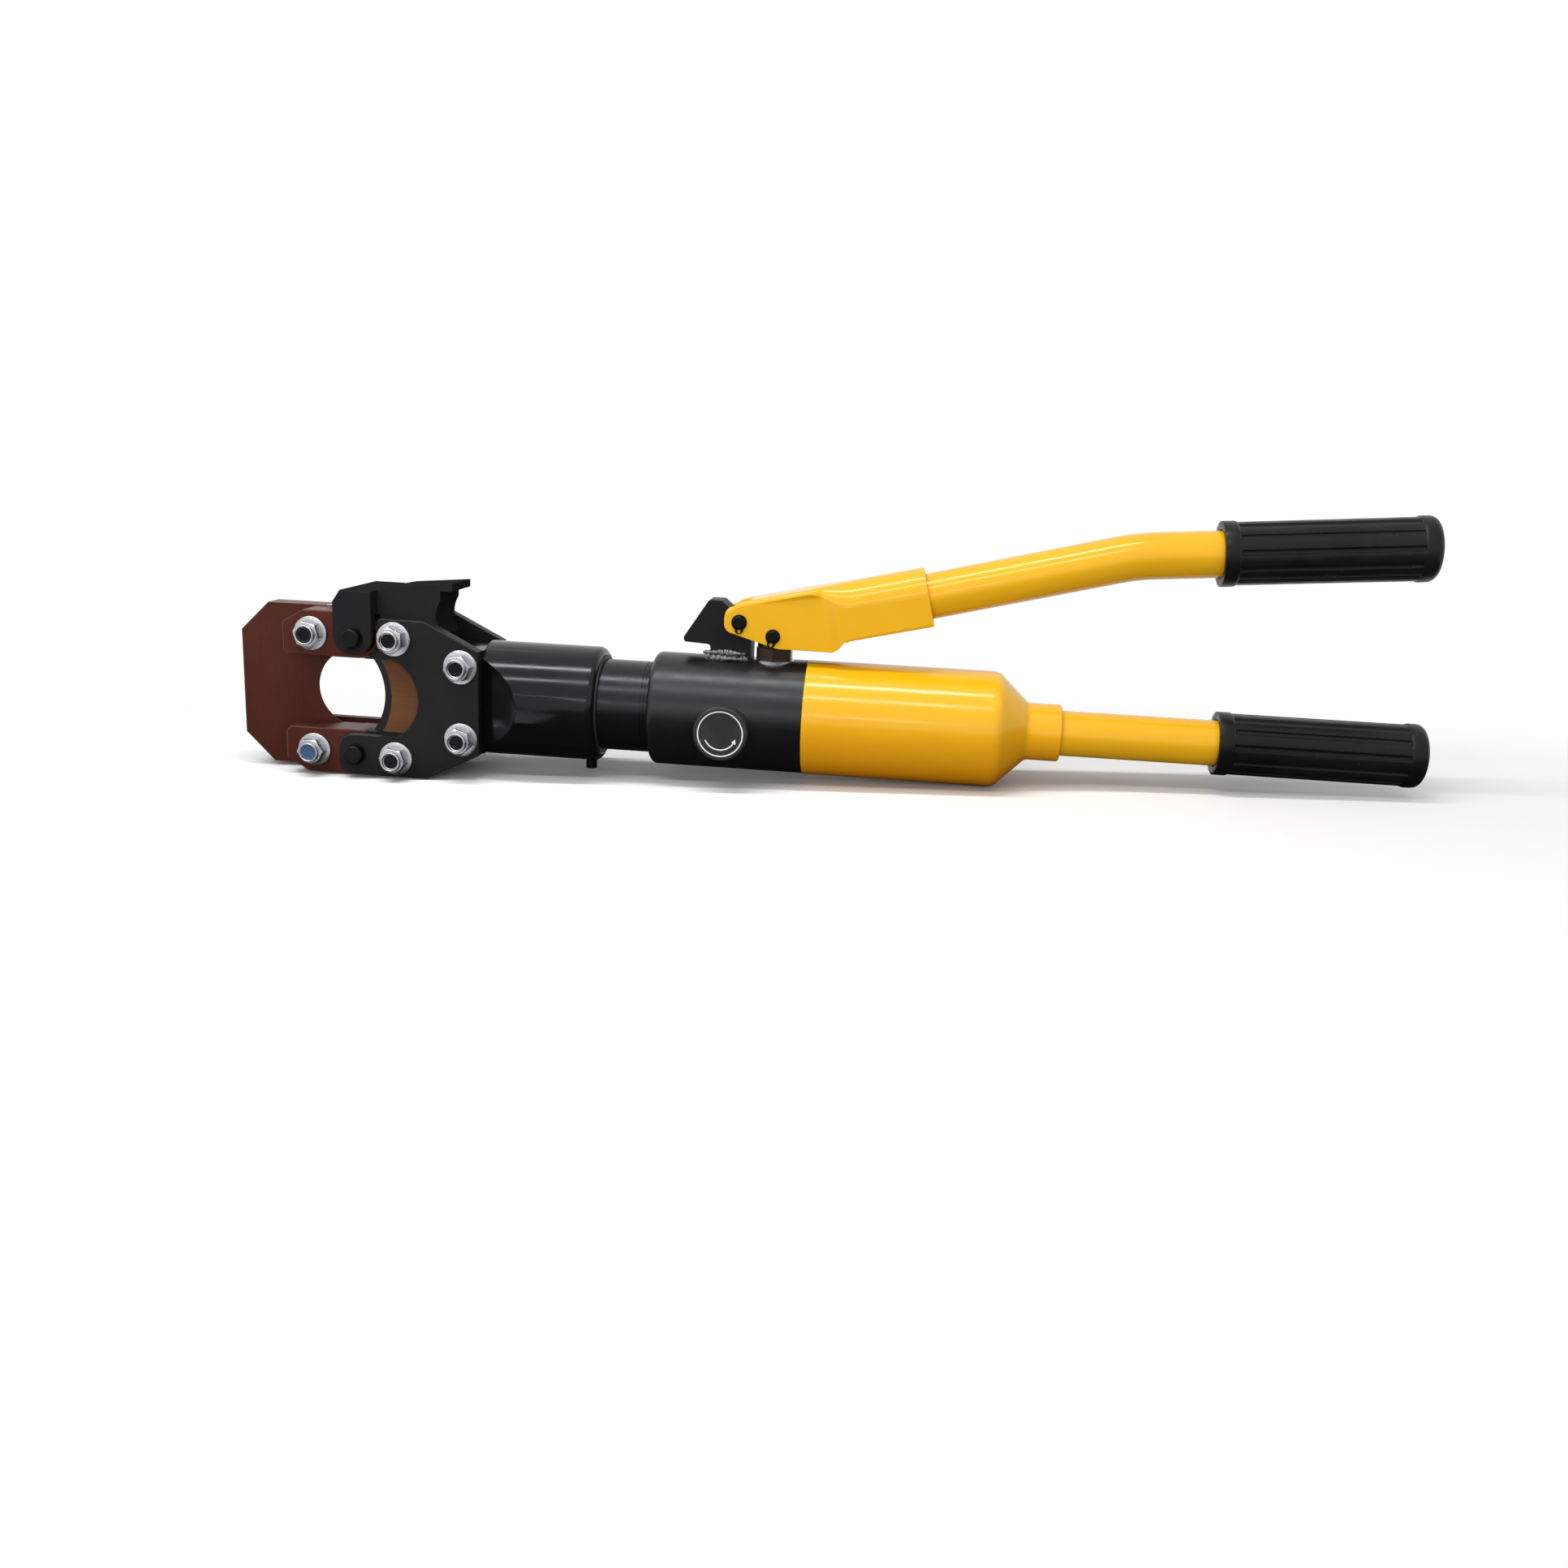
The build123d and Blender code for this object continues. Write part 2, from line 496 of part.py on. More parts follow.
# the hook's lower edge is an arc about the jaw pin, just outside the guide boss
hook_r = hypot(front_bolt_x - jaw_pin_x, front_bolt_z + jaw_pin_z) + guide_boss_r + hook_clear
tail = Polygon((latch_right_x - 3, latch_bridge_bottom_z), (latch_tail_step_x, latch_bridge_bottom_z),
               (latch_tail_step_x, latch_tail_bottom_z), (hook_front_x, latch_tail_bottom_z), (hook_front_x, 0),
               (latch_end_x, 0), (latch_end_x, latch_tail_top_z - latch_lip_thick),
               (latch_lip_x, latch_tail_top_z - latch_lip_thick), (latch_lip_x, latch_tail_top_z),
               (latch_tail_rise_x, latch_tail_rise_z), (latch_right_x, latch_top_z),
               (latch_right_x - 3, latch_top_z), align=None)
tail -= disc(hook_r, jaw_pin_x, -jaw_pin_z) - block(-300, hook_front_x, -300, 300)
latch += cut_plate(tail, -latch_tail_half, latch_tail_half)
latch -= rod_y(latch_end_r, -60, 60, latch_end_x + latch_end_r - 3.0, latch_bridge_bottom_z - 0.5) & slab(
    latch_end_x - 5, barrel_front_x, -60, 60, 0, latch_tail_top_z - latch_lip_thick - 1.5)
latch = latch.solid()
for end in (0, -1):
    latch = chamfer(latch.faces().sort_by(Axis.Y)[end].outer_wire().edges(), broken_edge)
save("latch_lever", latch)

# latch spring: a wire coil under the bridge, one leg on the jaw, one against the bridge
coil_length = latch_coil_turns * latch_coil_pitch
helix = Helix(pitch=latch_coil_pitch, height=coil_length, radius=latch_coil_r)
coil = sweep(Plane(origin=helix @ 0, x_dir=(1, 0, 0), z_dir=helix % 0) * Circle(latch_wire_r), path=helix)
coil = Pos(latch_coil_x, latch_leg_y + coil_length, latch_coil_z) * Rot(90, 0, 0) * Rot(0, 0, 180) * coil


def wire(points, r):
    line = FilletPolyline(*points, radius=3 * r)
    return sweep(Plane(origin=line @ 0, z_dir=line % 0) * Circle(r), path=line)


coil_left = latch_coil_x - latch_coil_r
leg_z = fixed_blade_half_height + latch_wire_r + seat_fit
front_leg = wire([(coil_left, latch_leg_y, latch_coil_z), (coil_left, latch_leg_y, leg_z + latch_wire_r),
                  (coil_left - latch_leg_length, latch_leg_y, leg_z)], latch_wire_r)
top_leg_y = latch_leg_y + coil_length
top_leg_z = latch_top_z - latch_bridge_thick - latch_wire_r - slide_gap
back_leg = wire([(coil_left, top_leg_y, latch_coil_z), (coil_left, top_leg_y, latch_coil_z + latch_top_leg_rise),
                 (coil_left + latch_top_leg, top_leg_y, top_leg_z)], latch_wire_r)
latch_spring = coil + front_leg + back_leg


def least_gap(path, wire_r, samples=240):
    # least clear distance between the turns of a coil, measured on points of its centre line
    points = [path @ (i / samples) for i in range(samples + 1)]
    apart = samples / latch_coil_turns / 2
    reach = min((a - b).length for i, a in enumerate(points) for j, b in enumerate(points) if j - i > apart)
    return reach - 2 * wire_r


print("latch spring, least gap between turns", round(least_gap(helix, latch_wire_r), 2), "mm")
save("latch_spring", latch_spring)

# moving blade, in front of the shear plane, with a bevel on its front
edge_x = blade_front_x - blade_edge_r
blade = block(edge_x, blade_body_end_x, -blade_half, blade_half)
blade += block(blade_body_end_x - 1, blade_tail_end_x, -blade_tail_half, blade_tail_half)
blade -= disc(blade_edge_r, edge_x, 0)
moving_blade = cut_plate(blade, blade_face_y, blade_rear_y)
moving_blade -= cone_y(blade_edge_r + blade_bevel_x, blade_edge_r, blade_face_y, blade_face_y + blade_bevel_y,
                       edge_x, 0)
screw_z = blade_tail_half - blade_screw_head_r - 1.5
screw_spots = [(blade_screw_x, -screw_z), (blade_screw_x, screw_z)]
for x, z in screw_spots:
    moving_blade -= rod_y(blade_screw_r + seat_fit, blade_rear_y - 12, blade_rear_y + 1, x, z)
moving_blade = moving_blade.solids().sort_by(SortBy.VOLUME)[-1]
save("moving_blade", moving_blade)

# ram: piston, rod and half-lap nose behind the blade's tail
barrel_rear_x = pump_front_x + barrel_thread_depth
piston_rear_x = barrel_rear_x - piston_rest_gap
piston_front_x = piston_rear_x - piston_length
nose_end_x = blade_tail_end_x - 14.5
ram = rod_x(rod_r, nose_end_x, piston_front_x + 1)
ram -= slab(nose_end_x - 1, blade_tail_end_x + slide_gap, -rod_r - 1, blade_rear_y, -rod_r - 1, rod_r + 1)
ram += rod_x(barrel_bore_r - run_fit, piston_front_x, piston_rear_x)
seal_x = piston_front_x + (piston_length - seal_width) / 2
seal_in = barrel_bore_r - seal_depth
ram -= rod_x(barrel_bore_r + 1, seal_x, seal_x + seal_width) - rod_x(seal_in, seal_x, seal_x + seal_width)
head_seat_y = 5.0
for x, z in screw_spots:
    ram -= rod_y(blade_screw_r + seat_fit, blade_rear_y - 1, rod_r, x, z)
    ram -= rod_y(blade_screw_head_r + seat_fit, head_seat_y, rod_r + 1, x, z)
save("ram_piston", ram)
save("piston_seal", rod_x(barrel_bore_r - seat_fit, seal_x + seat_fit, seal_x + seal_width - seat_fit)
     - rod_x(seal_in + seat_fit, seal_x, seal_x + seal_width))
screws = []
for x, z in screw_spots:
    screw = rod_y(blade_screw_r, blade_rear_y - 11, head_seat_y + 0.5, x, z)
    screw += rod_y(blade_screw_head_r, head_seat_y, head_seat_y + blade_screw_head_height, x, z)
    screw -= Pos(x, head_seat_y + blade_screw_head_height, z) * Rot(90, 0, 0) * extrude(hexagon(4.0), amount=2.5)
    screws.append(screw)
save("blade_screws", screws)

# barrel with end wall, swivel groove and the fine turned lines before the pump
barrel = rod_x(barrel_r, barrel_head_x, barrel_rear_x)
barrel -= rod_x(barrel_bore_r, barrel_head_x + barrel_head_wall, barrel_rear_x + 1)
barrel -= rod_x(rod_r + run_fit, barrel_head_x - 1, barrel_head_x + barrel_head_wall + 1)
groove_half = swivel_screw_r + slide_gap
grooves = [(swivel_x - groove_half, swivel_x + groove_half, swivel_groove_depth)]
for step in (2.0, 4.0):
    line_x = pump_front_x - step
    grooves.append((line_x - barrel_line_width, line_x, barrel_line_depth))
for x0, x1, depth in grooves:
    barrel -= rod_x(barrel_r + 1, x0, x1) - rod_x(barrel_r - depth, x0, x1)
save("ram_barrel", barrel)
save("return_spring", coil_x(barrel_head_x + barrel_head_wall + seat_fit, piston_front_x - seat_fit,
                             spring_r, spring_wire_r, spring_turns))

# pump body with its drillings
pump = rod_x(pump_r, pump_front_x, pump_rear_x)
pump = fillet(pump.edges().filter_by(GeomType.CIRCLE).sort_by(Axis.X)[:1], pump_edge_r)
spigot_end_x = pump_rear_x + spigot_length
bladder_spigot_x = spigot_end_x + bladder_spigot_length
pump += rod_x(spigot_r, pump_rear_x - 1, spigot_end_x)
pump += rod_x(bladder_spigot_r, spigot_end_x - 1, bladder_spigot_x)
oring_x = pump_rear_x + spigot_length / 2
oring_seat = spigot_r - 2 * oring_r
pump -= rod_x(spigot_r + 1, oring_x - 2, oring_x + 2) - rod_x(oring_seat, oring_x - 2, oring_x + 2)
pump -= rod_x(barrel_r + seat_fit, pump_front_x - 1, barrel_rear_x)
pump -= rod_z(plunger_r + run_fit, plunger_bore_z, pump_r + 1, plunger_x)
pump -= rod_z(gland_r + seat_fit, gland_base_z, pump_r + 1, plunger_x)
pump -= rod_z(gland_washer_r + seat_fit, gland_washer_z, pump_r + 1, plunger_x)
suction_seat_z = plunger_bore_z - 14
pump -= rod_z(valve_bore_r, suction_seat_z, plunger_bore_z + 1, plunger_x)
pump -= rod_z(valve_seat_r, suction_z, suction_seat_z + 1, plunger_x)
pump -= rod_x(valve_seat_r + 0.6, plunger_x - 3, bladder_spigot_x + 1, 0, suction_z)
delivery_seat_x = plunger_x - plunger_r - 5
pump -= rod_x(valve_seat_r, delivery_seat_x - 1, plunger_x - plunger_r + 2, 0, delivery_z)
pump -= rod_x(valve_bore_r, barrel_rear_x - 1, delivery_seat_x, 0, delivery_z)
needle_bore_r = needle_r + run_fit
pump -= rod_y(needle_bore_r, -pump_r - 1, needle_tip_y - 4, release_x, release_z)
pump -= cone_y(needle_bore_r, 1.2, needle_tip_y - 4, needle_tip_y, release_x, release_z)
pump -= rod_y(1.2, needle_tip_y - 1, 1, release_x, release_z)
pump -= rod_z(1.2, release_z, delivery_z - 3, release_x)
pump -= rod_x(2.0, release_x, bladder_spigot_x + 1, -16, release_z)
relief_seat_z = -3.0
pump -= rod_z(valve_bore_r, -pump_r - 1, relief_seat_z, relief_x)
pump -= rod_z(1.5, relief_seat_z - 1, delivery_z - 3, relief_x)
pump -= rod_y(1.5, 0, 16, relief_x, -14) + rod_x(1.5, relief_x, bladder_spigot_x + 1, 16, -14)
save("pump_body", pump)

# valves inside the pump body
def seated_ball(seat_r):
    # height of a ball's centre over the edge of the hole that it closes
    return sqrt((valve_ball_r + seat_fit)**2 - seat_r**2)


suction_ball_z = suction_seat_z + seated_ball(valve_seat_r)
delivery_ball_x = delivery_seat_x - seated_ball(valve_seat_r)
relief_ball_z = relief_seat_z - seated_ball(1.5)
save("suction_ball", Pos(plunger_x, 0, suction_ball_z) * Sphere(valve_ball_r))
save("delivery_ball", Pos(delivery_ball_x, 0, delivery_z) * Sphere(valve_ball_r))
save("relief_ball", Pos(relief_x, 0, relief_ball_z) * Sphere(valve_ball_r))
retainer_x = delivery_ball_x - valve_ball_r - 12
save("delivery_retainer", rod_x(valve_bore_r - seat_fit, retainer_x - 5, retainer_x, 0, delivery_z)
     - rod_x(1.6, retainer_x - 6, retainer_x + 1, 0, delivery_z))
valve_coil_r = valve_ball_r - 1.4


def spring_rest(wire_r):
    # distance from a ball's centre to the end of the spring that presses on it
    return sqrt((valve_ball_r + wire_r + seat_fit)**2 - valve_coil_r**2) - wire_r


delivery_spring = Pos(0, 0, delivery_z) * coil_x(retainer_x + seat_fit, delivery_ball_x - spring_rest(valve_wire_r),
                                                 valve_coil_r, valve_wire_r, valve_turns)
save("delivery_spring", delivery_spring)
relief_screw_z = relief_ball_z - valve_ball_r - 14
relief_spring = coil_x(relief_screw_z + seat_fit, relief_ball_z - spring_rest(relief_wire_r), valve_coil_r,
                       relief_wire_r, valve_turns)
save("relief_spring", Pos(relief_x, 0, 0) * Rot(0, -90, 0) * relief_spring)
relief_screw = rod_z(valve_bore_r - seat_fit, relief_screw_z - 8, relief_screw_z, relief_x)
relief_screw -= Pos(relief_x, 0, relief_screw_z - 8) * extrude(hexagon(4.0), amount=4)
save("relief_screw", relief_screw)
filter_r = valve_seat_r + 0.6 - seat_fit
suction_filter = rod_x(filter_r, bladder_spigot_x - 8, bladder_spigot_x, 0, suction_z)
suction_filter += rod_x(filter_r + 2, bladder_spigot_x, bladder_spigot_x + 2, 0, suction_z)
save("suction_filter", suction_filter - rod_x(filter_r - 0.8, bladder_spigot_x - 9, bladder_spigot_x + 1, 0,
                                              suction_z))
oring = Torus(spigot_r - oring_r, oring_r)
save("reservoir_oring", Pos(oring_x, 0, 0) * Rot(0, 90, 0) * oring)

# gland round the plunger: a hexagon nut on a washer, with one corner towards the viewer
gland = rod_z(gland_r, gland_base_z + seat_fit, gland_seat_z + 1, plunger_x)
gland += Pos(plunger_x, 0, gland_seat_z) * Rot(0, 0, 30) * extrude(hexagon(gland_flats),
                                                                  amount=gland_top_z - gland_seat_z)
gland_seal_z = gland_base_z + 5
gland -= rod_z(plunger_r + run_fit, gland_base_z - 1, gland_top_z + 1, plunger_x)
gland -= rod_z(plunger_r + 1.0, gland_seal_z, gland_seal_z + 3, plunger_x)
save("plunger_gland", gland)
save("gland_washer", rod_z(gland_washer_r, gland_washer_z + seat_fit, gland_seat_z - seat_fit, plunger_x)
     - rod_z(gland_r + seat_fit, gland_washer_z - 1, gland_seat_z + 1, plunger_x))
save("plunger_seal", rod_z(plunger_r + 1.0 - seat_fit, gland_seal_z + seat_fit, gland_seal_z + 3 - seat_fit,
                           plunger_x) - rod_z(plunger_r + run_fit / 2, gland_seal_z, gland_seal_z + 3, plunger_x))

# handle post, welded on the pump body
post = rounded(
    [(post_left_x, post_root_z), (post_left_x, post_nose_z - 0.9), (post_nose_x + 1, post_nose_z),
     (post_nose_x, post_nose_z + 1.6), (post_nose_x, post_nose_z + post_nose_drop), (post_top_x0, post_top_z),
     (post_top_x1, post_top_z), (post_right_x, post_top_z - 10), (post_right_x, post_root_z)],
    [0, 2.0, 0, 0, 1.0, 1.5, 2.0, 0, 0])
post -= block(pivot_x, post_right_x + 1, pivot_z - post_pivot_r, post_top_z + 1)
slope_start_x, slope_start_z = post_top_x1 + post_slope_x, post_top_z - post_slope_drop
slope_run = post_right_x + 1 - slope_start_x
post -= Polygon((slope_start_x, slope_start_z), (slope_start_x + slope_run, slope_start_z - slope_run * post_slope),
                (slope_start_x + slope_run, post_top_z + 1), (post_top_x1, post_top_z + 1),
                (post_top_x1, post_top_z), align=None)
post += disc(post_pivot_r, pivot_x, pivot_z)
post += block(pivot_x - 2, post_right_x, pivot_z - 19, pivot_z - post_pivot_r + 2) & disc(11.0, pivot_x, pivot_z - 8)
post -= disc(pivot_pin_r + run_fit, pivot_x, pivot_z)
handle_post = cut_plate(post, -post_half, post_half) - rod_x(pump_r + seat_fit, pump_front_x, pump_rear_x)
handle_post = handle_post.solids().sort_by(SortBy.VOLUME)[-1]
save("handle_post", handle_post)
bead = slab(post_left_x - weld_width, post_right_x, -post_half - weld_width, post_half + weld_width, 25,
            pump_r + weld_rise - 4.0)
bead = fillet(bead.edges().group_by(Axis.Z)[-1], weld_width * 0.9)
bead -= rod_x(pump_r + seat_fit, pump_front_x, pump_rear_x)
bead -= slab(post_left_x - seat_fit, post_right_x + 5, -post_half - seat_fit, post_half + seat_fit, 0, 100)
save("post_weld", bead)

# release valve: knob and needle
knob_back_y = -pump_r - knob_stand_off
knob_face_y = knob_back_y - knob_height
knob = rod_y(knob_r, knob_face_y, knob_back_y, release_x, release_z)
knob = fillet(knob.edges().filter_by(GeomType.CIRCLE).sort_by(Axis.Y)[:1], knob_edge)
knob -= rod_y(knob_r - 2.4, knob_face_y - 1, knob_face_y + knob_dish, release_x, release_z)
knob -= rod_y(needle_r - 1 + seat_fit, knob_face_y + 3, knob_back_y + 1, release_x, release_z)
save("release_knob", knob)
needle = rod_y(needle_r, knob_back_y + seat_fit, needle_tip_y - 4 - seat_fit, release_x, release_z)
needle += rod_y(needle_r - 1, knob_face_y + 3 + seat_fit, knob_back_y + 1, release_x, release_z)
needle += cone_y(needle_r, 1.2, needle_tip_y - 4 - seat_fit, needle_tip_y - seat_fit, release_x, release_z)
save("release_needle", needle)

# reservoir housing: cylinder, rounded cone and neck turned as one piece
profile = Polygon((pump_rear_x, 0), (pump_rear_x, reservoir_r), (reservoir_end_x, reservoir_r),
                  (neck_start_x - 1.0, neck_r), (neck_end_x, neck_r), (neck_end_x, 0), align=None)
for (x, r), size in (((reservoir_end_x, reservoir_r), 9.0), ((neck_start_x - 1.0, neck_r), 4.0),
                     ((neck_end_x, neck_r), 1.2), ((pump_rear_x, reservoir_r), 1.0)):
    profile = fillet(profile.vertices().sort_by_distance(Vector(x, r, 0))[0], size)
reservoir = revolve(profile, axis=Axis.X)
chamber_end_x = reservoir_end_x - 2
reservoir -= rod_x(spigot_r + seat_fit, pump_rear_x - 1, chamber_end_x)
reservoir -= rod_x(tube_r + seat_fit, neck_end_x - tube_socket, neck_end_x + 1)
save("reservoir_housing", reservoir)
bladder_end_x = chamber_end_x - bladder_end_gap
bladder = rod_x(bladder_r, spigot_end_x + seat_fit, bladder_end_x)
bladder = fillet(bladder.edges().filter_by(GeomType.CIRCLE).sort_by(Axis.X)[-1:], 8.0)
inner = rod_x(bladder_spigot_r + seat_fit, spigot_end_x - 1, bladder_end_x - bladder_wall)
save("oil_bladder", bladder - fillet(inner.edges().filter_by(GeomType.CIRCLE).sort_by(Axis.X)[-1:], 6.0))

# lower handle tube and the two grips
tube_end_x = lower_grip_x + grip_length - grip_end_wall - 1.0
save("fixed_handle_tube", rod_x(tube_r, neck_end_x - tube_socket + seat_fit, tube_end_x)
     - rod_x(tube_r - tube_wall, 0, tube_end_x + 1))


def handle_grip():
    # rubber sleeve along +X from the origin: plain ring, fluted length, round closed end
    sleeve = rod_x(grip_r, 0, grip_length)
    ends = sleeve.edges().filter_by(GeomType.CIRCLE).sort_by(Axis.X)
    sleeve = fillet(ends[-1:], grip_end_round)
    sleeve = fillet(sleeve.edges().filter_by(GeomType.CIRCLE).sort_by(Axis.X)[:1], 1.2)
    for i in range(grip_flutes):
        turn = 360 / grip_flutes * (i + 0.5)
        flute_z = grip_r + grip_flute_r - grip_flute_depth
        sleeve -= Rot(turn, 0, 0) * rod_x(grip_flute_r, grip_ring, grip_length - grip_end_cap, 0, flute_z)
    return sleeve - rod_x(tube_r + seat_fit, -1, grip_length - grip_end_wall)


save("fixed_handle_grip", Pos(lower_grip_x, 0, 0) * handle_grip())

# pump handle: bracket folded round the plunger, bent tube and grip
def handle_z(x):
    # height of the tube axis before the bend
    return handle_axis_z + tan(radians(handle_slope)) * (x - handle_axis_x)


lean = radians(handle_slope)
end_top = (handle_axis_x - sin(lean) * roof_height, handle_axis_z + cos(lean) * roof_height)
end_low = (handle_axis_x + sin(lean) * box_half_height, handle_axis_z - cos(lean) * box_half_height)
side = rounded(
    [(pivot_x - bracket_nose, bracket_nose_low_z), bracket_low, bracket_step, bracket_under, end_low, end_top,
     bracket_top, (pivot_x - bracket_nose, bracket_nose_top_z)],
    [bracket_nose_r, 6.0, 1.5, 8.0, 1.5, 1.5, 2.5, bracket_nose_r])
roof = (end_top[1] - bracket_top[1]) / (end_top[0] - bracket_top[0])
drop = bracket_wall * sqrt(1 + roof**2)
far_z = pivot_z + 150.0
inner_side = Polygon((pivot_x - 40, 0), (bracket_under[0] - 4, 0),
                     (bracket_under[0] - 4, handle_z(bracket_under[0] - 4) - tube_r - 1.2),
                     (end_low[0] + 10, handle_z(end_low[0] + 10) - tube_r - 1.2),
                     (end_top[0] + 18, end_top[1] + 18 * roof - drop),
                     (bracket_roof_x, bracket_top[1] + roof * (bracket_roof_x - bracket_top[0]) - drop),
                     (bracket_roof_x, far_z), (pivot_x - 40, far_z), align=None)


def plan(half_left, half_right):
    half = Polygon((pivot_x - 40, 0), (pivot_x - 40, half_left), (bump_x0, half_left), (bump_x1, half_right),
                   (end_low[0] + 20, half_right), (end_low[0] + 20, 0), align=None)
    return extrude(half + mirror(half, about=Plane.XZ), amount=220, dir=(0, 0, 1))


shell = cut_plate(side, -40, 40) & plan(cheek_out, box_out)
roof_edges = [e for e in shell.edges().filter_by(GeomType.LINE)
              if e.length > 10 and abs(e.center().Y) > cheek_out - 0.1 and abs((e % 0.5).X) > 0.85
              and e.center().Z > handle_z(e.center().X) + box_half_height / 2]
shell = fillet(roof_edges, bracket_fold_r)
hollow = cut_plate(inner_side, -40, 40) & plan(cheek_out - bracket_wall, tube_r + seat_fit)
bracket = shell - hollow
for x, z, r in ((pivot_x, pivot_z, pivot_pin_r), (plunger_x, plunger_pin_z, plunger_pin_r)):
    bracket -= rod_y(r + seat_fit, -40, 40, x, z)
bracket = bracket.solids().sort_by(SortBy.VOLUME)[-1]
save("handle_bracket", bracket)

bend = Vector(handle_bend_x, 0, handle_z(handle_bend_x))
grip_dir = Vector(cos(radians(handle_grip_slope)), 0, sin(radians(handle_grip_slope)))
grip_start = bend + grip_dir * ((handle_grip_x - handle_bend_x) / grip_dir.X)
tube_stop = grip_start + grip_dir * (grip_length - grip_end_wall - 1.0)
tube_path = FilletPolyline((handle_tube_start_x, 0, handle_z(handle_tube_start_x)), bend, tube_stop,
                           radius=handle_bend_r)
ring = Circle(tube_r) - Circle(tube_r - tube_wall)
handle_tube = sweep(Plane(origin=tube_path @ 0, x_dir=(0, 1, 0), z_dir=tube_path % 0) * ring, path=tube_path)
save("handle_tube", handle_tube)
save("handle_grip", Pos(*grip_start) * Rot(0, -handle_grip_slope, 0) * handle_grip())

handle_clip_y = cheek_out + 0.2
handle_pin_end = cheek_out + pin_stand
save("pivot_pin", pin_with_grooves(pivot_x, pivot_z, pivot_pin_r, handle_pin_end, handle_clip_y))
save("pivot_pin_clips", pin_clips(pivot_x, pivot_z, pivot_pin_r, handle_clip_y, 0, True))
save("plunger_pin", pin_with_grooves(plunger_x, plunger_pin_z, plunger_pin_r, handle_pin_end, handle_clip_y))
save("plunger_pin_clips", pin_clips(plunger_x, plunger_pin_z, plunger_pin_r, handle_clip_y, -12, True))

# plunger: its eye is a slot, because the pin swings on an arc while the plunger rises straight
arm = hypot(plunger_x - pivot_x, plunger_pin_z - pivot_z)
pin_rest = degrees(atan2(plunger_pin_z - pivot_z, plunger_x - pivot_x))
pin_high = pin_rest + handle_range
pin_x_low = pivot_x + arm * min(cos(radians(pin_rest)), cos(radians(pin_high)))
pin_x_high = pivot_x + arm * (1.0 if pin_rest < 0 < pin_high else max(cos(radians(pin_rest)), cos(radians(pin_high))))
plunger_lift = arm * (sin(radians(pin_high)) - sin(radians(pin_rest)))
slot_r = plunger_pin_r + pin_slot_gap
plunger = rod_z(plunger_head_r, gland_top_z + plunger_head_gap, plunger_pin_z + plunger_top_rise, plunger_x)
plunger = fillet(plunger.edges().filter_by(GeomType.CIRCLE).sort_by(Axis.Z)[-1:], 2.0)
plunger += rod_z(plunger_r, plunger_bore_z + 2.5, gland_top_z + plunger_head_gap + 1, plunger_x)
slot = disc(slot_r, pin_x_low, plunger_pin_z) + disc(slot_r, pin_x_high, plunger_pin_z)
slot += block(pin_x_low, pin_x_high, plunger_pin_z - slot_r, plunger_pin_z + slot_r)
plunger -= cut_plate(slot, -plunger_head_r - 1, plunger_head_r + 1)
save("pump_plunger", plunger)
print("plunger lift", round(plunger_lift, 3), "mm over", handle_range, "degrees")
print("jaw pins", jaw_pin_x, jaw_pin_z, "pivot", pivot_x, pivot_z, "stroke", blade_stroke, "latch", latch_range)
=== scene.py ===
import bpy
import json
import math
from mathutils import Matrix, Vector


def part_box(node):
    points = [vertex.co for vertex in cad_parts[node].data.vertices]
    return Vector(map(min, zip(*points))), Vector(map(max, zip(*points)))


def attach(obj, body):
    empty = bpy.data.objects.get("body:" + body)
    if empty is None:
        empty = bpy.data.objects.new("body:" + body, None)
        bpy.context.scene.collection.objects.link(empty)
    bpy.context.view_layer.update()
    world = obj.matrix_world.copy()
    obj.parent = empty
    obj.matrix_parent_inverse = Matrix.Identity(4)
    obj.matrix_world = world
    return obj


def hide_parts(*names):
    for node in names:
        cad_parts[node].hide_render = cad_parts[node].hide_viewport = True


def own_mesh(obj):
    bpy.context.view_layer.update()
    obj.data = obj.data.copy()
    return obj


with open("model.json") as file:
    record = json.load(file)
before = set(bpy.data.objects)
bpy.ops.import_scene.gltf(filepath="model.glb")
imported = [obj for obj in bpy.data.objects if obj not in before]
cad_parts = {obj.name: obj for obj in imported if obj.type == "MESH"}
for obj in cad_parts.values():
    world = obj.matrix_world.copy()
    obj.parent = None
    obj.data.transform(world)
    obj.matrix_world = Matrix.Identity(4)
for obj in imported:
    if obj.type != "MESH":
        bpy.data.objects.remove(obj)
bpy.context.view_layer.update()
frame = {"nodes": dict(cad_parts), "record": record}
nodes = frame["nodes"]
scene = bpy.context.scene
scene.view_settings.view_transform = "Standard"
print("frame loaded,", len(nodes), "nodes")


# camera at the photograph's viewpoint
cameraSet = {"place": (0.1833, -0.8566, 0.1684), "yaw": 5.273, "pitch": 13.911, "roll": 2.683,
             "focalPixels": 1706.53, "imagePixels": 1932, "sensor": 36.0, "clipStart": 0.02}


def placeCamera(s):
    data = bpy.data.cameras.new("photoCamera")
    data.sensor_width = s["sensor"]
    data.lens = s["focalPixels"] / s["imagePixels"] * s["sensor"]
    data.clip_start = s["clipStart"]
    camera = bpy.data.objects.new("photoCamera", data)
    scene.collection.objects.link(camera)
    turn = (Matrix.Rotation(math.radians(s["yaw"]), 4, "Z")
            @ Matrix.Rotation(math.radians(90 - s["pitch"]), 4, "X")
            @ Matrix.Rotation(math.radians(s["roll"]), 4, "Z"))
    camera.matrix_world = Matrix.Translation(s["place"]) @ turn
    scene.camera = camera


placeCamera(cameraSet)
print("camera placed")


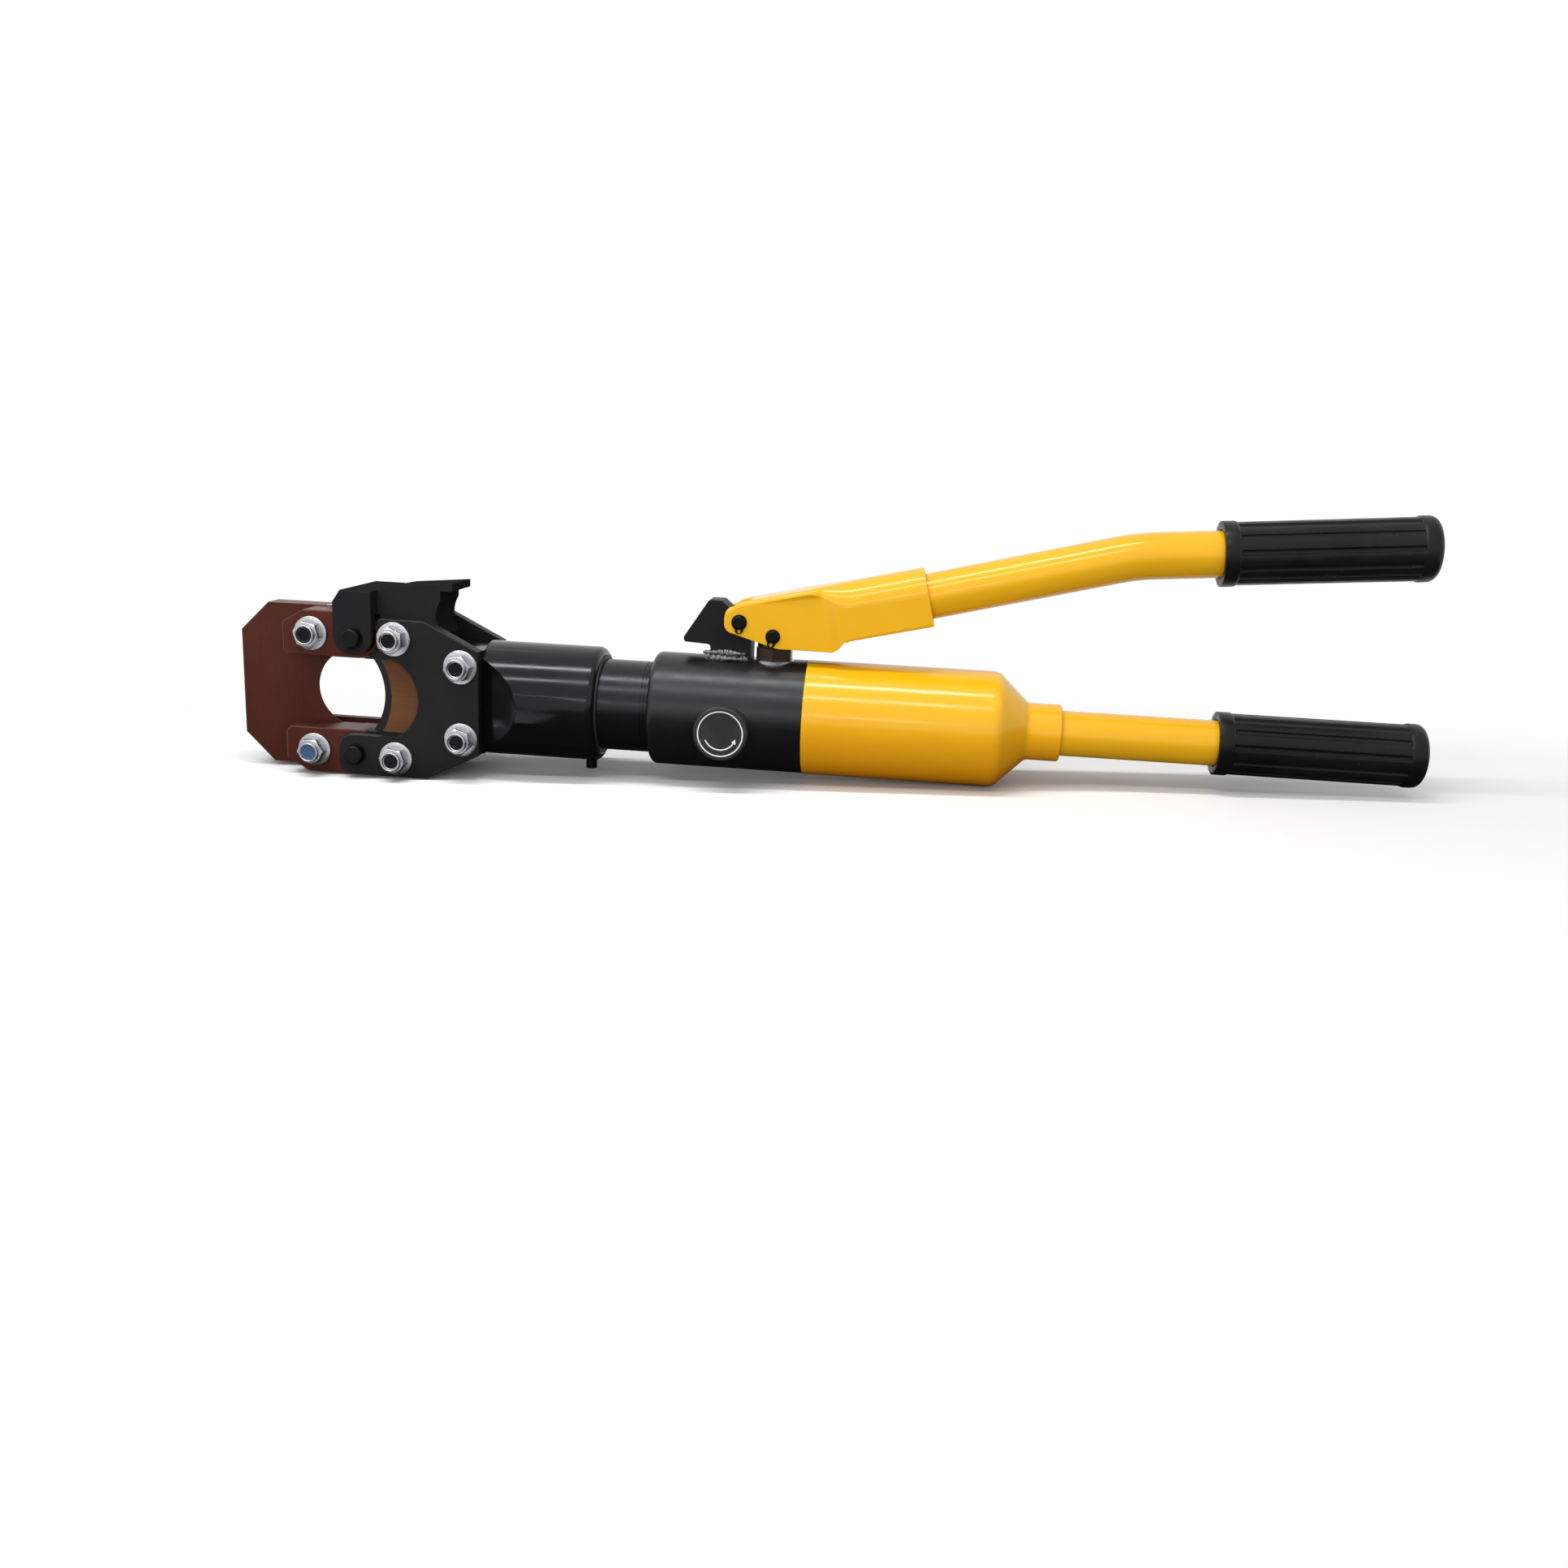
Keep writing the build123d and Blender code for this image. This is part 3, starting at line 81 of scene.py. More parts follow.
# helpers for node trees: nodes stand in rows, in the order in which they are made
layoutSet = {"perRow": 8, "across": 220, "down": 320}


def addNode(tree, kind, **values):
    row, column = divmod(len(tree.nodes), layoutSet["perRow"])
    node = tree.nodes.new(kind)
    node.location = (column * layoutSet["across"], -row * layoutSet["down"])
    for key, value in values.items():
        setattr(node, key, value)
    return node


def feed(tree, socket, value):
    # another node's output is linked, a plain value is set
    if hasattr(value, "links"):
        tree.links.new(value, socket)
    else:
        socket.default_value = value


def operate(tree, kind, operation, inputs):
    node = addNode(tree, kind, operation=operation)
    for socket, value in zip(node.inputs, inputs):
        feed(tree, socket, value)
    return node


def mathNode(tree, operation, *inputs):
    return operate(tree, "ShaderNodeMath", operation, inputs).outputs[0]


def vectorNode(tree, operation, *inputs):
    label = "Value" if operation in ("LENGTH", "DOT_PRODUCT") else "Vector"
    return operate(tree, "ShaderNodeVectorMath", operation, inputs).outputs[label]


def weigh(tree, first, firstShare, second, secondShare):
    return mathNode(tree, "ADD", mathNode(tree, "MULTIPLY", first, firstShare),
                    mathNode(tree, "MULTIPLY", second, secondShare))


def noise(tree, vector, scale, detail=3.0, rough=0.6):
    node = addNode(tree, "ShaderNodeTexNoise")
    for label, value in (("Vector", vector), ("Scale", scale), ("Detail", detail), ("Roughness", rough)):
        feed(tree, node.inputs[label], value)
    return node.outputs["Fac"]


def remap(tree, value, low, high, toLow=0.0, toHigh=1.0, kind="SMOOTHSTEP"):
    node = addNode(tree, "ShaderNodeMapRange", interpolation_type=kind)
    for label, number in (("Value", value), ("From Min", low), ("From Max", high), ("To Min", toLow),
                          ("To Max", toHigh)):
        feed(tree, node.inputs[label], number)
    return node.outputs["Result"]


def mixColours(tree, factor, first, second):
    node = addNode(tree, "ShaderNodeMix", data_type="RGBA")
    for index, value in ((0, factor), (6, first), (7, second)):
        feed(tree, node.inputs[index], value)
    return node.outputs[2]


def objectCoords(tree):
    return addNode(tree, "ShaderNodeTexCoord").outputs["Object"]


def splitAxes(tree, vector):
    node = addNode(tree, "ShaderNodeSeparateXYZ")
    tree.links.new(vector, node.inputs[0])
    return node.outputs


def newGroup(name, inputs, outputs):
    group = bpy.data.node_groups.new(name, "ShaderNodeTree")
    for label, value in inputs.items():
        kind = "NodeSocketVector" if isinstance(value, tuple) else "NodeSocketFloat"
        group.interface.new_socket(label, in_out="INPUT", socket_type=kind).default_value = value
    for label in outputs:
        group.interface.new_socket(label, in_out="OUTPUT", socket_type="NodeSocketFloat")
    return group, addNode(group, "NodeGroupInput").outputs, addNode(group, "NodeGroupOutput").inputs


# shared effects, built once as node groups
skinSet = {"peelShare": 0.35, "smudgeFine": 3.7, "smudgeRange": (0.38, 0.68)}


def makePaintSkin(s):
    # sprayed enamel: fine peel, a slow sag of the film, a drift of tone and smudges
    group, start, end = newGroup("paintSkin", {"peelScale": 420.0, "sagScale": 45.0, "toneScale": 9.0},
                                 ("height", "tone", "smudge"))
    place = objectCoords(group)
    peel = noise(group, place, start["peelScale"], detail=2.0, rough=0.4)
    sag = noise(group, place, start["sagScale"], detail=2.0, rough=0.4)
    smudgeScale = mathNode(group, "MULTIPLY", start["toneScale"], s["smudgeFine"])
    smudge = noise(group, place, smudgeScale, detail=5.0)
    height = mathNode(group, "ADD", mathNode(group, "MULTIPLY", peel, s["peelShare"]), sag)
    group.links.new(height, end["height"])
    group.links.new(noise(group, place, start["toneScale"], detail=4.0, rough=0.55), end["tone"])
    group.links.new(remap(group, smudge, *s["smudgeRange"]), end["smudge"])
    return group


def makeDustSpecks():
    # pale specks of dust, each cell holding one or none
    group, start, end = newGroup("dustSpecks", {"scale": 260.0, "size": 0.12, "share": 0.2}, ("mask",))
    cells = addNode(group, "ShaderNodeTexVoronoi")
    group.links.new(objectCoords(group), cells.inputs["Vector"])
    group.links.new(start["scale"], cells.inputs["Scale"])
    near = mathNode(group, "LESS_THAN", cells.outputs["Distance"], start["size"])
    pick = addNode(group, "ShaderNodeSeparateColor")
    group.links.new(cells.outputs["Color"], pick.inputs[0])
    kept = mathNode(group, "LESS_THAN", pick.outputs[0], start["share"])
    group.links.new(mathNode(group, "MULTIPLY", near, kept), end["mask"])
    return group


linesSet = {"broadScale": 0.16, "fineShare": 0.5, "broadShare": 0.5}


def makeToolLines(s):
    # fine lines left by turning, grinding or brushing; stretch says along which axis they run
    group, start, end = newGroup("toolLines", {"stretch": (1.0, 1.0, 1.0), "scale": 900.0}, ("height", "tone"))
    place = vectorNode(group, "MULTIPLY", objectCoords(group), start["stretch"])
    fine = noise(group, place, start["scale"])
    broad = noise(group, place, mathNode(group, "MULTIPLY", start["scale"], s["broadScale"]))
    group.links.new(fine, end["height"])
    group.links.new(weigh(group, fine, s["fineShare"], broad, s["broadShare"]), end["tone"])
    return group


edgeWearAndHighlightSet = {"samples": 4, "turn": (0.995, 0.86), "ragged": (0.35, 0.62), "least": 0.25}


def makeEdgeWearAndHighlight(s):
    # where the surface turns sharply, broken up by noise: it lightens edges as wear and as a painted highlight
    group, start, end = newGroup("edgeWearAndHighlight", {"radius": 0.0006, "breakup": 160.0}, ("mask",))
    rounded = addNode(group, "ShaderNodeBevel", samples=s["samples"])
    group.links.new(start["radius"], rounded.inputs["Radius"])
    flat = addNode(group, "ShaderNodeNewGeometry").outputs["Normal"]
    sharp = remap(group, vectorNode(group, "DOT_PRODUCT", rounded.outputs[0], flat), *s["turn"])
    cloud = noise(group, objectCoords(group), start["breakup"], detail=4.0)
    ragged = remap(group, cloud, *s["ragged"], toLow=s["least"])
    group.links.new(mathNode(group, "MULTIPLY", sharp, ragged), end["mask"])
    return group


groups = {"paintSkin": makePaintSkin(skinSet), "dustSpecks": makeDustSpecks(), "toolLines": makeToolLines(linesSet),
          "edgeWearAndHighlight": makeEdgeWearAndHighlight(edgeWearAndHighlightSet)}
print("effect groups built:", ", ".join(groups))


# materials
def blankMaterial(name):
    material = bpy.data.materials.new(name)
    material.use_nodes = True
    material.node_tree.nodes.clear()
    return material, material.node_tree


def newMaterial(name, rough, metal=0.0, specular=0.5):
    material, tree = blankMaterial(name)
    shader = addNode(tree, "ShaderNodeBsdfPrincipled")
    tree.links.new(shader.outputs[0], addNode(tree, "ShaderNodeOutputMaterial").inputs[0])
    for label, value in (("Roughness", rough), ("Metallic", metal), ("Specular IOR Level", specular)):
        shader.inputs[label].default_value = value
    return material, tree, shader


def useGroup(tree, name, **values):
    node = addNode(tree, "ShaderNodeGroup", node_tree=groups[name])
    for label, value in values.items():
        node.inputs[label].default_value = value
    return node.outputs


def addBump(tree, shader, height, strength, distance=0.0003):
    bump = addNode(tree, "ShaderNodeBump")
    for label, value in (("Strength", strength), ("Distance", distance), ("Height", height)):
        feed(tree, bump.inputs[label], value)
    tree.links.new(bump.outputs[0], shader.inputs["Normal"])


def shade(colour, factor=1.0):
    return tuple(min(1.0, part * factor) for part in colour) + (1.0,)


def toneMix(tree, skin, first, second, low=0.35, high=0.68, share=1.0):
    # the second colour drifts in where the film's tone is high
    return mixColours(tree, remap(tree, skin["tone"], low, high, toHigh=share), first, second)


def varyRough(tree, shader, value, rough, spread, low=0.0, high=1.0):
    tree.links.new(remap(tree, value, low, high, rough, rough + spread, kind="LINEAR"), shader.inputs["Roughness"])


amberSet = {"colour": (0.855, 0.452, 0.010), "deep": (0.835, 0.428, 0.009), "dust": (0.95, 0.80, 0.45), "rough": 0.14,
            "spread": 0.05, "specular": 0.38, "peel": 0.012, "peelDepth": 0.0004}
# the casting's colour turns orange towards its bottom: painted shade
castSet = dict(amberSet, colour=(0.845, 0.472, 0.011), deep=(0.835, 0.452, 0.010), under=(0.84, 0.312, 0.002),
               shadeLevels=(0.030, -0.046), peel=0.02)


def makeAmberPaint(name, s):
    material, tree, shader = newMaterial(name, s["rough"], specular=s["specular"])
    skin = useGroup(tree, "paintSkin", peelScale=380.0, sagScale=38.0, toneScale=11.0)
    dust = useGroup(tree, "dustSpecks", scale=240.0, size=0.05, share=0.06)
    colour = toneMix(tree, skin, shade(s["colour"]), shade(s["deep"]), high=0.65)
    if "shadeLevels" in s:
        # painted shade: the paint turns to orange low on the casting, as its underside looks in shade
        low = remap(tree, splitAxes(tree, objectCoords(tree))["Z"], *s["shadeLevels"])
        colour = mixColours(tree, low, colour, shade(s["under"]))
    colour = mixColours(tree, dust["mask"], colour, shade(s["dust"]))
    tree.links.new(colour, shader.inputs["Base Color"])
    varyRough(tree, shader, skin["smudge"], s["rough"], s["spread"])
    addBump(tree, shader, skin["height"], s["peel"], s["peelDepth"])
    return material


blackSet = {"colour": (0.0030, 0.0030, 0.0033), "worn": (0.0046, 0.0046, 0.0051), "dust": (0.05, 0.05, 0.052),
            "tint": (0.93, 0.95, 1.0), "rough": 0.23, "spread": 0.06, "specular": 0.33, "bump": 0.02,
            "filmShare": 0.6, "lineShare": 0.4}
collarBlackSet = dict(blackSet, rough=0.13, specular=0.30, bump=0.01)
pumpBlackSet = dict(blackSet, colour=(0.0055, 0.0053, 0.0053), worn=(0.0085, 0.0082, 0.0080), rough=0.29,
                    specular=0.40, bump=0.002)


def makeGlossBlack(name, s):
    material, tree, shader = newMaterial(name, s["rough"], specular=s["specular"])
    shader.inputs["Specular Tint"].default_value = shade(s["tint"])
    skin = useGroup(tree, "paintSkin", peelScale=520.0, sagScale=60.0, toneScale=16.0)
    lines = useGroup(tree, "toolLines", stretch=(1.0, 0.02, 0.02), scale=1500.0)
    dust = useGroup(tree, "dustSpecks", scale=300.0, size=0.05, share=0.08)
    colour = toneMix(tree, skin, shade(s["colour"]), shade(s["worn"]))
    tree.links.new(mixColours(tree, dust["mask"], colour, shade(s["dust"])), shader.inputs["Base Color"])
    varyRough(tree, shader, skin["smudge"], s["rough"], s["spread"])
    height = weigh(tree, skin["height"], s["filmShare"], lines["height"], s["lineShare"])
    addBump(tree, shader, height, s["bump"])
    return material


# edge is the lighter colour of the edges: worn paint and a painted highlight
satinSet = {"colour": (0.0075, 0.0075, 0.0080), "worn": (0.0105, 0.0105, 0.0112), "edge": (0.055, 0.056, 0.059),
            "dust": (0.05, 0.05, 0.052), "rough": 0.42, "spread": 0.10, "specular": 0.16, "bump": 0.04}
latchBlackSet = dict(satinSet, colour=(0.0190, 0.0190, 0.0202), worn=(0.0230, 0.0230, 0.0243),
                     edge=(0.032, 0.032, 0.034), rough=0.62, specular=0.0)


def makeSatinBlack(name, s):
    material, tree, shader = newMaterial(name, s["rough"], specular=s["specular"])
    skin = useGroup(tree, "paintSkin", peelScale=900.0, sagScale=120.0, toneScale=22.0)
    wearAndHighlight = useGroup(tree, "edgeWearAndHighlight", radius=0.0007, breakup=170.0)
    dust = useGroup(tree, "dustSpecks", scale=330.0, size=0.05, share=0.10)
    colour = toneMix(tree, skin, shade(s["colour"]), shade(s["worn"]))
    colour = mixColours(tree, dust["mask"], colour, shade(s["dust"]))
    # lighter edges: worn paint and a painted highlight
    tree.links.new(mixColours(tree, wearAndHighlight["mask"], colour, shade(s["edge"])), shader.inputs["Base Color"])
    varyRough(tree, shader, skin["smudge"], s["rough"], s["spread"])
    addBump(tree, shader, skin["height"], s["bump"])
    return material


# ground steel under a coloured lacquer: the fine grinding lines show through
# edge is the lighter colour of the edges: worn lacquer and a painted highlight
brownSet = {"colour": (0.082, 0.022, 0.0145), "deep": (0.066, 0.0165, 0.0105), "edge": (0.15, 0.070, 0.050),
            "rough": 0.30, "spread": 0.12, "metal": 0.1, "specular": 0.12, "stretch": (1.0, 0.05, 0.05), "bump": 0.08,
            "bumpDepth": 0.0002, "filmShare": 0.55, "lineShare": 0.45, "toneRange": (0.38, 0.62),
            "roughRange": (0.3, 0.7)}
orangeSet = dict(brownSet, colour=(0.165, 0.070, 0.030), deep=(0.125, 0.050, 0.020), edge=(0.26, 0.14, 0.08),
                 rough=0.32, stretch=(0.05, 0.05, 1.0), bevelMiddle=(0.1909, 0.0, 0.0), bevelR=0.0454,
                 bevel=(0.0080, 0.0075, 0.0072))


def makeLacquer(name, s):
    material, tree, shader = newMaterial(name, s["rough"], metal=s["metal"], specular=s["specular"])
    skin = useGroup(tree, "paintSkin", peelScale=600.0, sagScale=70.0, toneScale=18.0)
    lines = useGroup(tree, "toolLines", stretch=s["stretch"], scale=1300.0)
    wearAndHighlight = useGroup(tree, "edgeWearAndHighlight", radius=0.0006, breakup=150.0)
    tone = weigh(tree, skin["tone"], s["filmShare"], lines["tone"], s["lineShare"])
    colour = mixColours(tree, remap(tree, tone, *s["toneRange"]), shade(s["colour"]), shade(s["deep"]))
    # lighter edges: worn lacquer and a painted highlight
    colour = mixColours(tree, wearAndHighlight["mask"], colour, shade(s["edge"]))
    if "bevelR" in s:
        # the cutting bevel is oxide black: a round field about the edge's centre, seen from the side
        place = vectorNode(tree, "ADD", objectCoords(tree), s["bevelMiddle"])
        far = vectorNode(tree, "LENGTH", vectorNode(tree, "MULTIPLY", place, (1, 0, 1)))
        colour = mixColours(tree, mathNode(tree, "LESS_THAN", far, s["bevelR"]), colour, shade(s["bevel"]))
    tree.links.new(colour, shader.inputs["Base Color"])
    varyRough(tree, shader, lines["tone"], s["rough"], s["spread"], *s["roughRange"])
    addBump(tree, shader, lines["height"], s["bump"], s["bumpDepth"])
    return material


metalSet = {"dark": 0.55, "spread": 0.14, "bumpDepth": 0.0002, "lineScale": 900.0}


def makeMetal(name, colour, rough, stretch=(1.0, 1.0, 1.0), bump=0.06, blotch=0.25):
    # bare or plated metal: tool lines and cloudy plating
    s = metalSet
    material, tree, shader = newMaterial(name, rough, metal=1.0)
    skin = useGroup(tree, "paintSkin", peelScale=1200.0, sagScale=260.0, toneScale=70.0)
    base = toneMix(tree, skin, shade(colour), shade(colour, s["dark"]), high=0.65, share=blotch)
    tree.links.new(base, shader.inputs["Base Color"])
    varyRough(tree, shader, skin["smudge"], rough, s["spread"])
    if bump:
        lines = useGroup(tree, "toolLines", stretch=stretch, scale=s["lineScale"])
        addBump(tree, shader, lines["height"], bump, s["bumpDepth"])
    return material


rubberSet = {"pale": 1.8, "dust": (0.12, 0.12, 0.12), "spread": 0.14}


def makeRubber(name, colour, rough, grain=0.12, specular=0.5):
    s = rubberSet
    material, tree, shader = newMaterial(name, rough, specular=specular)
    skin = useGroup(tree, "paintSkin", peelScale=1500.0, sagScale=140.0, toneScale=24.0)
    dust = useGroup(tree, "dustSpecks", scale=280.0, size=0.06, share=0.18)
    base = toneMix(tree, skin, shade(colour), shade(colour, s["pale"]))
    tree.links.new(mixColours(tree, dust["mask"], base, shade(s["dust"])), shader.inputs["Base Color"])
    varyRough(tree, shader, skin["smudge"], rough, s["spread"])
    addBump(tree, shader, skin["height"], grain)
    return material


# moulded knob: a printed ring and a turn arrow in the dish of its face
# edge is the lighter colour of the rim: wear and a painted highlight
knobSet = {"colour": (0.0240, 0.0232, 0.0225), "tones": (0.8, 1.25), "edge": (0.070, 0.070, 0.072),
           "print": (0.95, 0.95, 0.94), "rough": 0.42, "specular": 0.4, "bump": 0.10,
           "centre": (-0.0680, 0.0, 0.0055), "faceY": -0.0440, "ring": 0.0137, "line": 0.00036, "arrow": 0.0098,
           "arrowFrom": -155, "arrowTo": -32, "headLong": 0.0027, "headWide": 0.55}


def makeKnobPrint(name, s):
    material, tree, shader = newMaterial(name, s["rough"], specular=s["specular"])
    skin = useGroup(tree, "paintSkin", peelScale=1800.0, sagScale=160.0, toneScale=60.0)
    wearAndHighlight = useGroup(tree, "edgeWearAndHighlight", radius=0.0008, breakup=200.0)

    def work(operation, *inputs):
        return mathNode(tree, operation, *inputs)

    x, y, z = splitAxes(tree, vectorNode(tree, "ADD", objectCoords(tree), s["centre"]))
    radius = work("SQRT", work("ADD", work("MULTIPLY", x, x), work("MULTIPLY", z, z)))
    angle = work("ARCTAN2", z, x)
    ringOff, arrowOff = (work("ABSOLUTE", work("SUBTRACT", radius, s[label])) for label in ("ring", "arrow"))
    ring = work("LESS_THAN", ringOff, s["line"])
    tip = math.radians(s["arrowTo"])
    after = work("GREATER_THAN", angle, math.radians(s["arrowFrom"]))
    span = work("MULTIPLY", after, work("LESS_THAN", angle, tip))
    stroke = work("MULTIPLY", work("LESS_THAN", arrowOff, s["line"]), span)
    # the head narrows along the arc, past the end of the stroke
    run = work("MULTIPLY", work("SUBTRACT", angle, tip), s["arrow"])
    width = work("MULTIPLY", work("SUBTRACT", s["headLong"], run), s["headWide"])
    head = work("MULTIPLY", work("LESS_THAN", arrowOff, width), work("GREATER_THAN", run, 0.0))
    marks = work("MAXIMUM", ring, work("MAXIMUM", stroke, head))
    marks = work("MULTIPLY", marks, work("LESS_THAN", y, s["faceY"]))
    colour = toneMix(tree, skin, *(shade(s["colour"], tone) for tone in s["tones"]))
    # lighter rim: wear and a painted highlight
    colour = mixColours(tree, wearAndHighlight["mask"], colour, shade(s["edge"]))
    tree.links.new(mixColours(tree, marks, colour, shade(s["print"])), shader.inputs["Base Color"])
    addBump(tree, shader, skin["height"], s["bump"])
    return material


# the nylon of the lower jaw nut is blue, the others are black
nylonSet = {"black": (0.010, 0.010, 0.012), "blue": (0.062, 0.128, 0.270), "grime": (0.02, 0.02, 0.03),
            "grimeShare": 0.3, "edgeX": -0.180, "rough": 0.38, "specular": 0.2, "bump": 0.05}


def makeNylon(name, s):
    material, tree, shader = newMaterial(name, s["rough"], specular=s["specular"])
    skin = useGroup(tree, "paintSkin", peelScale=1800.0, sagScale=200.0, toneScale=90.0)
    place = splitAxes(tree, objectCoords(tree))
    lower = mathNode(tree, "MULTIPLY", mathNode(tree, "LESS_THAN", place["X"], s["edgeX"]),
                     mathNode(tree, "LESS_THAN", place["Z"], 0.0))
    colour = mixColours(tree, lower, shade(s["black"]), shade(s["blue"]))
    colour = toneMix(tree, skin, colour, shade(s["grime"]), high=0.65, share=s["grimeShare"])
    tree.links.new(colour, shader.inputs["Base Color"])
    addBump(tree, shader, skin["height"], s["bump"])
    return material


finishes = {
    "amber_paint": makeAmberPaint("amberPaint", amberSet),
    "amber_cast": makeAmberPaint("amberCasting", castSet),
    "gloss_black": makeGlossBlack("glossBlack", blackSet),
    "satin_black": makeSatinBlack("satinBlack", satinSet),
    "blade_brown": makeLacquer("brownLacquer", brownSet),
    "blade_orange": makeLacquer("orangeLacquer", orangeSet),
    "zinc": makeMetal("zincPlate", (0.52, 0.53, 0.55), 0.27, bump=0.0, blotch=0.15),
    "black_steel": makeMetal("blackOxide", (0.018, 0.018, 0.019), 0.42, bump=0.02),
    "bright_steel": makeMetal("groundSteel", (0.56, 0.56, 0.57), 0.24, stretch=(1.0, 0.05, 0.05)),
    "brown_steel": makeMetal("oiledSteel", (0.072, 0.054, 0.040), 0.30, stretch=(0.05, 0.05, 1.0)),
    "weld_metal": makeMetal("weldMetal", (0.22, 0.225, 0.235), 0.46, bump=0.0, blotch=0.6),
    "spring_steel": makeMetal("springWire", (0.30, 0.30, 0.31), 0.30),
    "insert_nylon": makeNylon("nylonInsert", nylonSet),
    "seal_plastic": makeRubber("sealRing", (0.085, 0.11, 0.085), 0.42, grain=0.05),
    "brass": makeMetal("turnedBrass", (0.78, 0.55, 0.20), 0.26),
    "black_rubber": makeRubber("gripRubber", (0.0046, 0.0046, 0.0048), 0.28, grain=0.05, specular=0.20),
    "soft_rubber": makeRubber("softRubber", (0.016, 0.016, 0.016), 0.55),
}
ownFinishes = {
    "head_collar": makeGlossBlack("collarBlack", collarBlackSet),
    "latch_lever": makeSatinBlack("latchBlack", latchBlackSet),
    "pump_body": makeGlossBlack("pumpBlack", pumpBlackSet),
    "release_knob": makeKnobPrint("knobPrint", knobSet),
}
for part in frame["record"]["subparts"]:
    for slot in nodes[part["node"]].material_slots:
        slot.material = ownFinishes.get(part["node"], finishes[part["material_slot"]])
print("finishes assigned:", len(finishes))


# modelling helpers; a face looks along an axis when that part of its normal is above facing
facing = 0.9


def setMode(mode):
    bpy.ops.object.mode_set(mode=mode)


def freshStart():
    if bpy.context.object and bpy.context.object.mode == "EDIT":
        setMode("OBJECT")
    bpy.ops.object.select_all(action="DESELECT")


def selectMesh():
    bpy.ops.mesh.select_all(action="SELECT")


def addRod(sides, radius, depth, low=0.0):
    # a cylinder along Z from low upwards
    freshStart()
    bpy.ops.mesh.primitive_cylinder_add(vertices=sides, radius=radius, depth=depth, location=(0, 0, low + depth / 2))
    bpy.ops.object.transform_apply()
    return bpy.context.object


def addBox(low, high):
    freshStart()
    middle = [(a + b) / 2 for a, b in zip(low, high)]
    bpy.ops.mesh.primitive_cube_add(size=1.0, location=middle, scale=[b - a for a, b in zip(low, high)])
    bpy.ops.object.transform_apply()
    return bpy.context.object


def moveTo(piece, place):
    piece.matrix_world = place
    bpy.ops.object.transform_apply()


def pickFaces(piece, test):
    # in edit mode: only the faces whose middle and normal pass the test
    bpy.ops.mesh.select_all(action="DESELECT")
    bpy.ops.mesh.select_mode(type="FACE")
    setMode("OBJECT")
    for face in piece.data.polygons:
        face.select = test(face.center, face.normal)
    setMode("EDIT")


def pickVertices(piece, test):
    bpy.ops.mesh.select_all(action="DESELECT")
    bpy.ops.mesh.select_mode(type="VERT")
    setMode("OBJECT")
    for vertex in piece.data.vertices:
        vertex.select = test(vertex.co)
    setMode("EDIT")


def addModifier(piece, kind, **values):
    modifier = piece.modifiers.new(kind.title(), kind)
    for key, value in values.items():
        setattr(modifier, key, value)
    bpy.context.view_layer.objects.active = piece
    bpy.ops.object.modifier_apply(modifier=modifier.name)


def bevelEdges(piece, width, segments, degrees):
    # edges that turn by more than the angle
    addModifier(piece, "BEVEL", width=width, segments=segments, limit_method="ANGLE", angle_limit=math.radians(degrees))


def combine(piece, tool, operation):
    addModifier(piece, "BOOLEAN", operation=operation, solver="EXACT", object=tool)
    bpy.data.objects.remove(tool)


def addCopy(source, name, place):
    # the same shape with its own mesh
    piece = bpy.data.objects.new(name, source.data.copy())
    scene.collection.objects.link(piece)
    piece.matrix_world = place
    return piece


def finishPiece(piece, body, slotName, replaced=(), angle=30.0, finish=None):
    # place goes into the mesh, then the piece joins its body
    freshStart()
    piece.select_set(True)
    bpy.context.view_layer.objects.active = piece
    bpy.ops.object.transform_apply()
    bpy.ops.object.shade_smooth_by_angle(angle=math.radians(angle))
    piece.data.materials.clear()
    piece.data.materials.append(finish or finishes[slotName])
    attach(piece, body)
    if replaced:
        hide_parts(*replaced)


# rubber grips: a ring, twelve flat ridges between round-ended grooves, a rounded closed end
gripSet = {"sides": 36, "radius": 0.0195, "length": 0.123, "ring": 0.0078, "cap": 0.0100, "step": 0.0012,
           "ridgeDrop": 0.0007, "grooveDepth": 0.0012, "grooveLip": 0.0004, "endRound": 0.0052, "mouth": 0.0153,
           "mouthDepth": 0.008, "mouthChamfer": 0.0008, "edge": 0.00045, "sideOn": 0.5, "slope": 4.54}


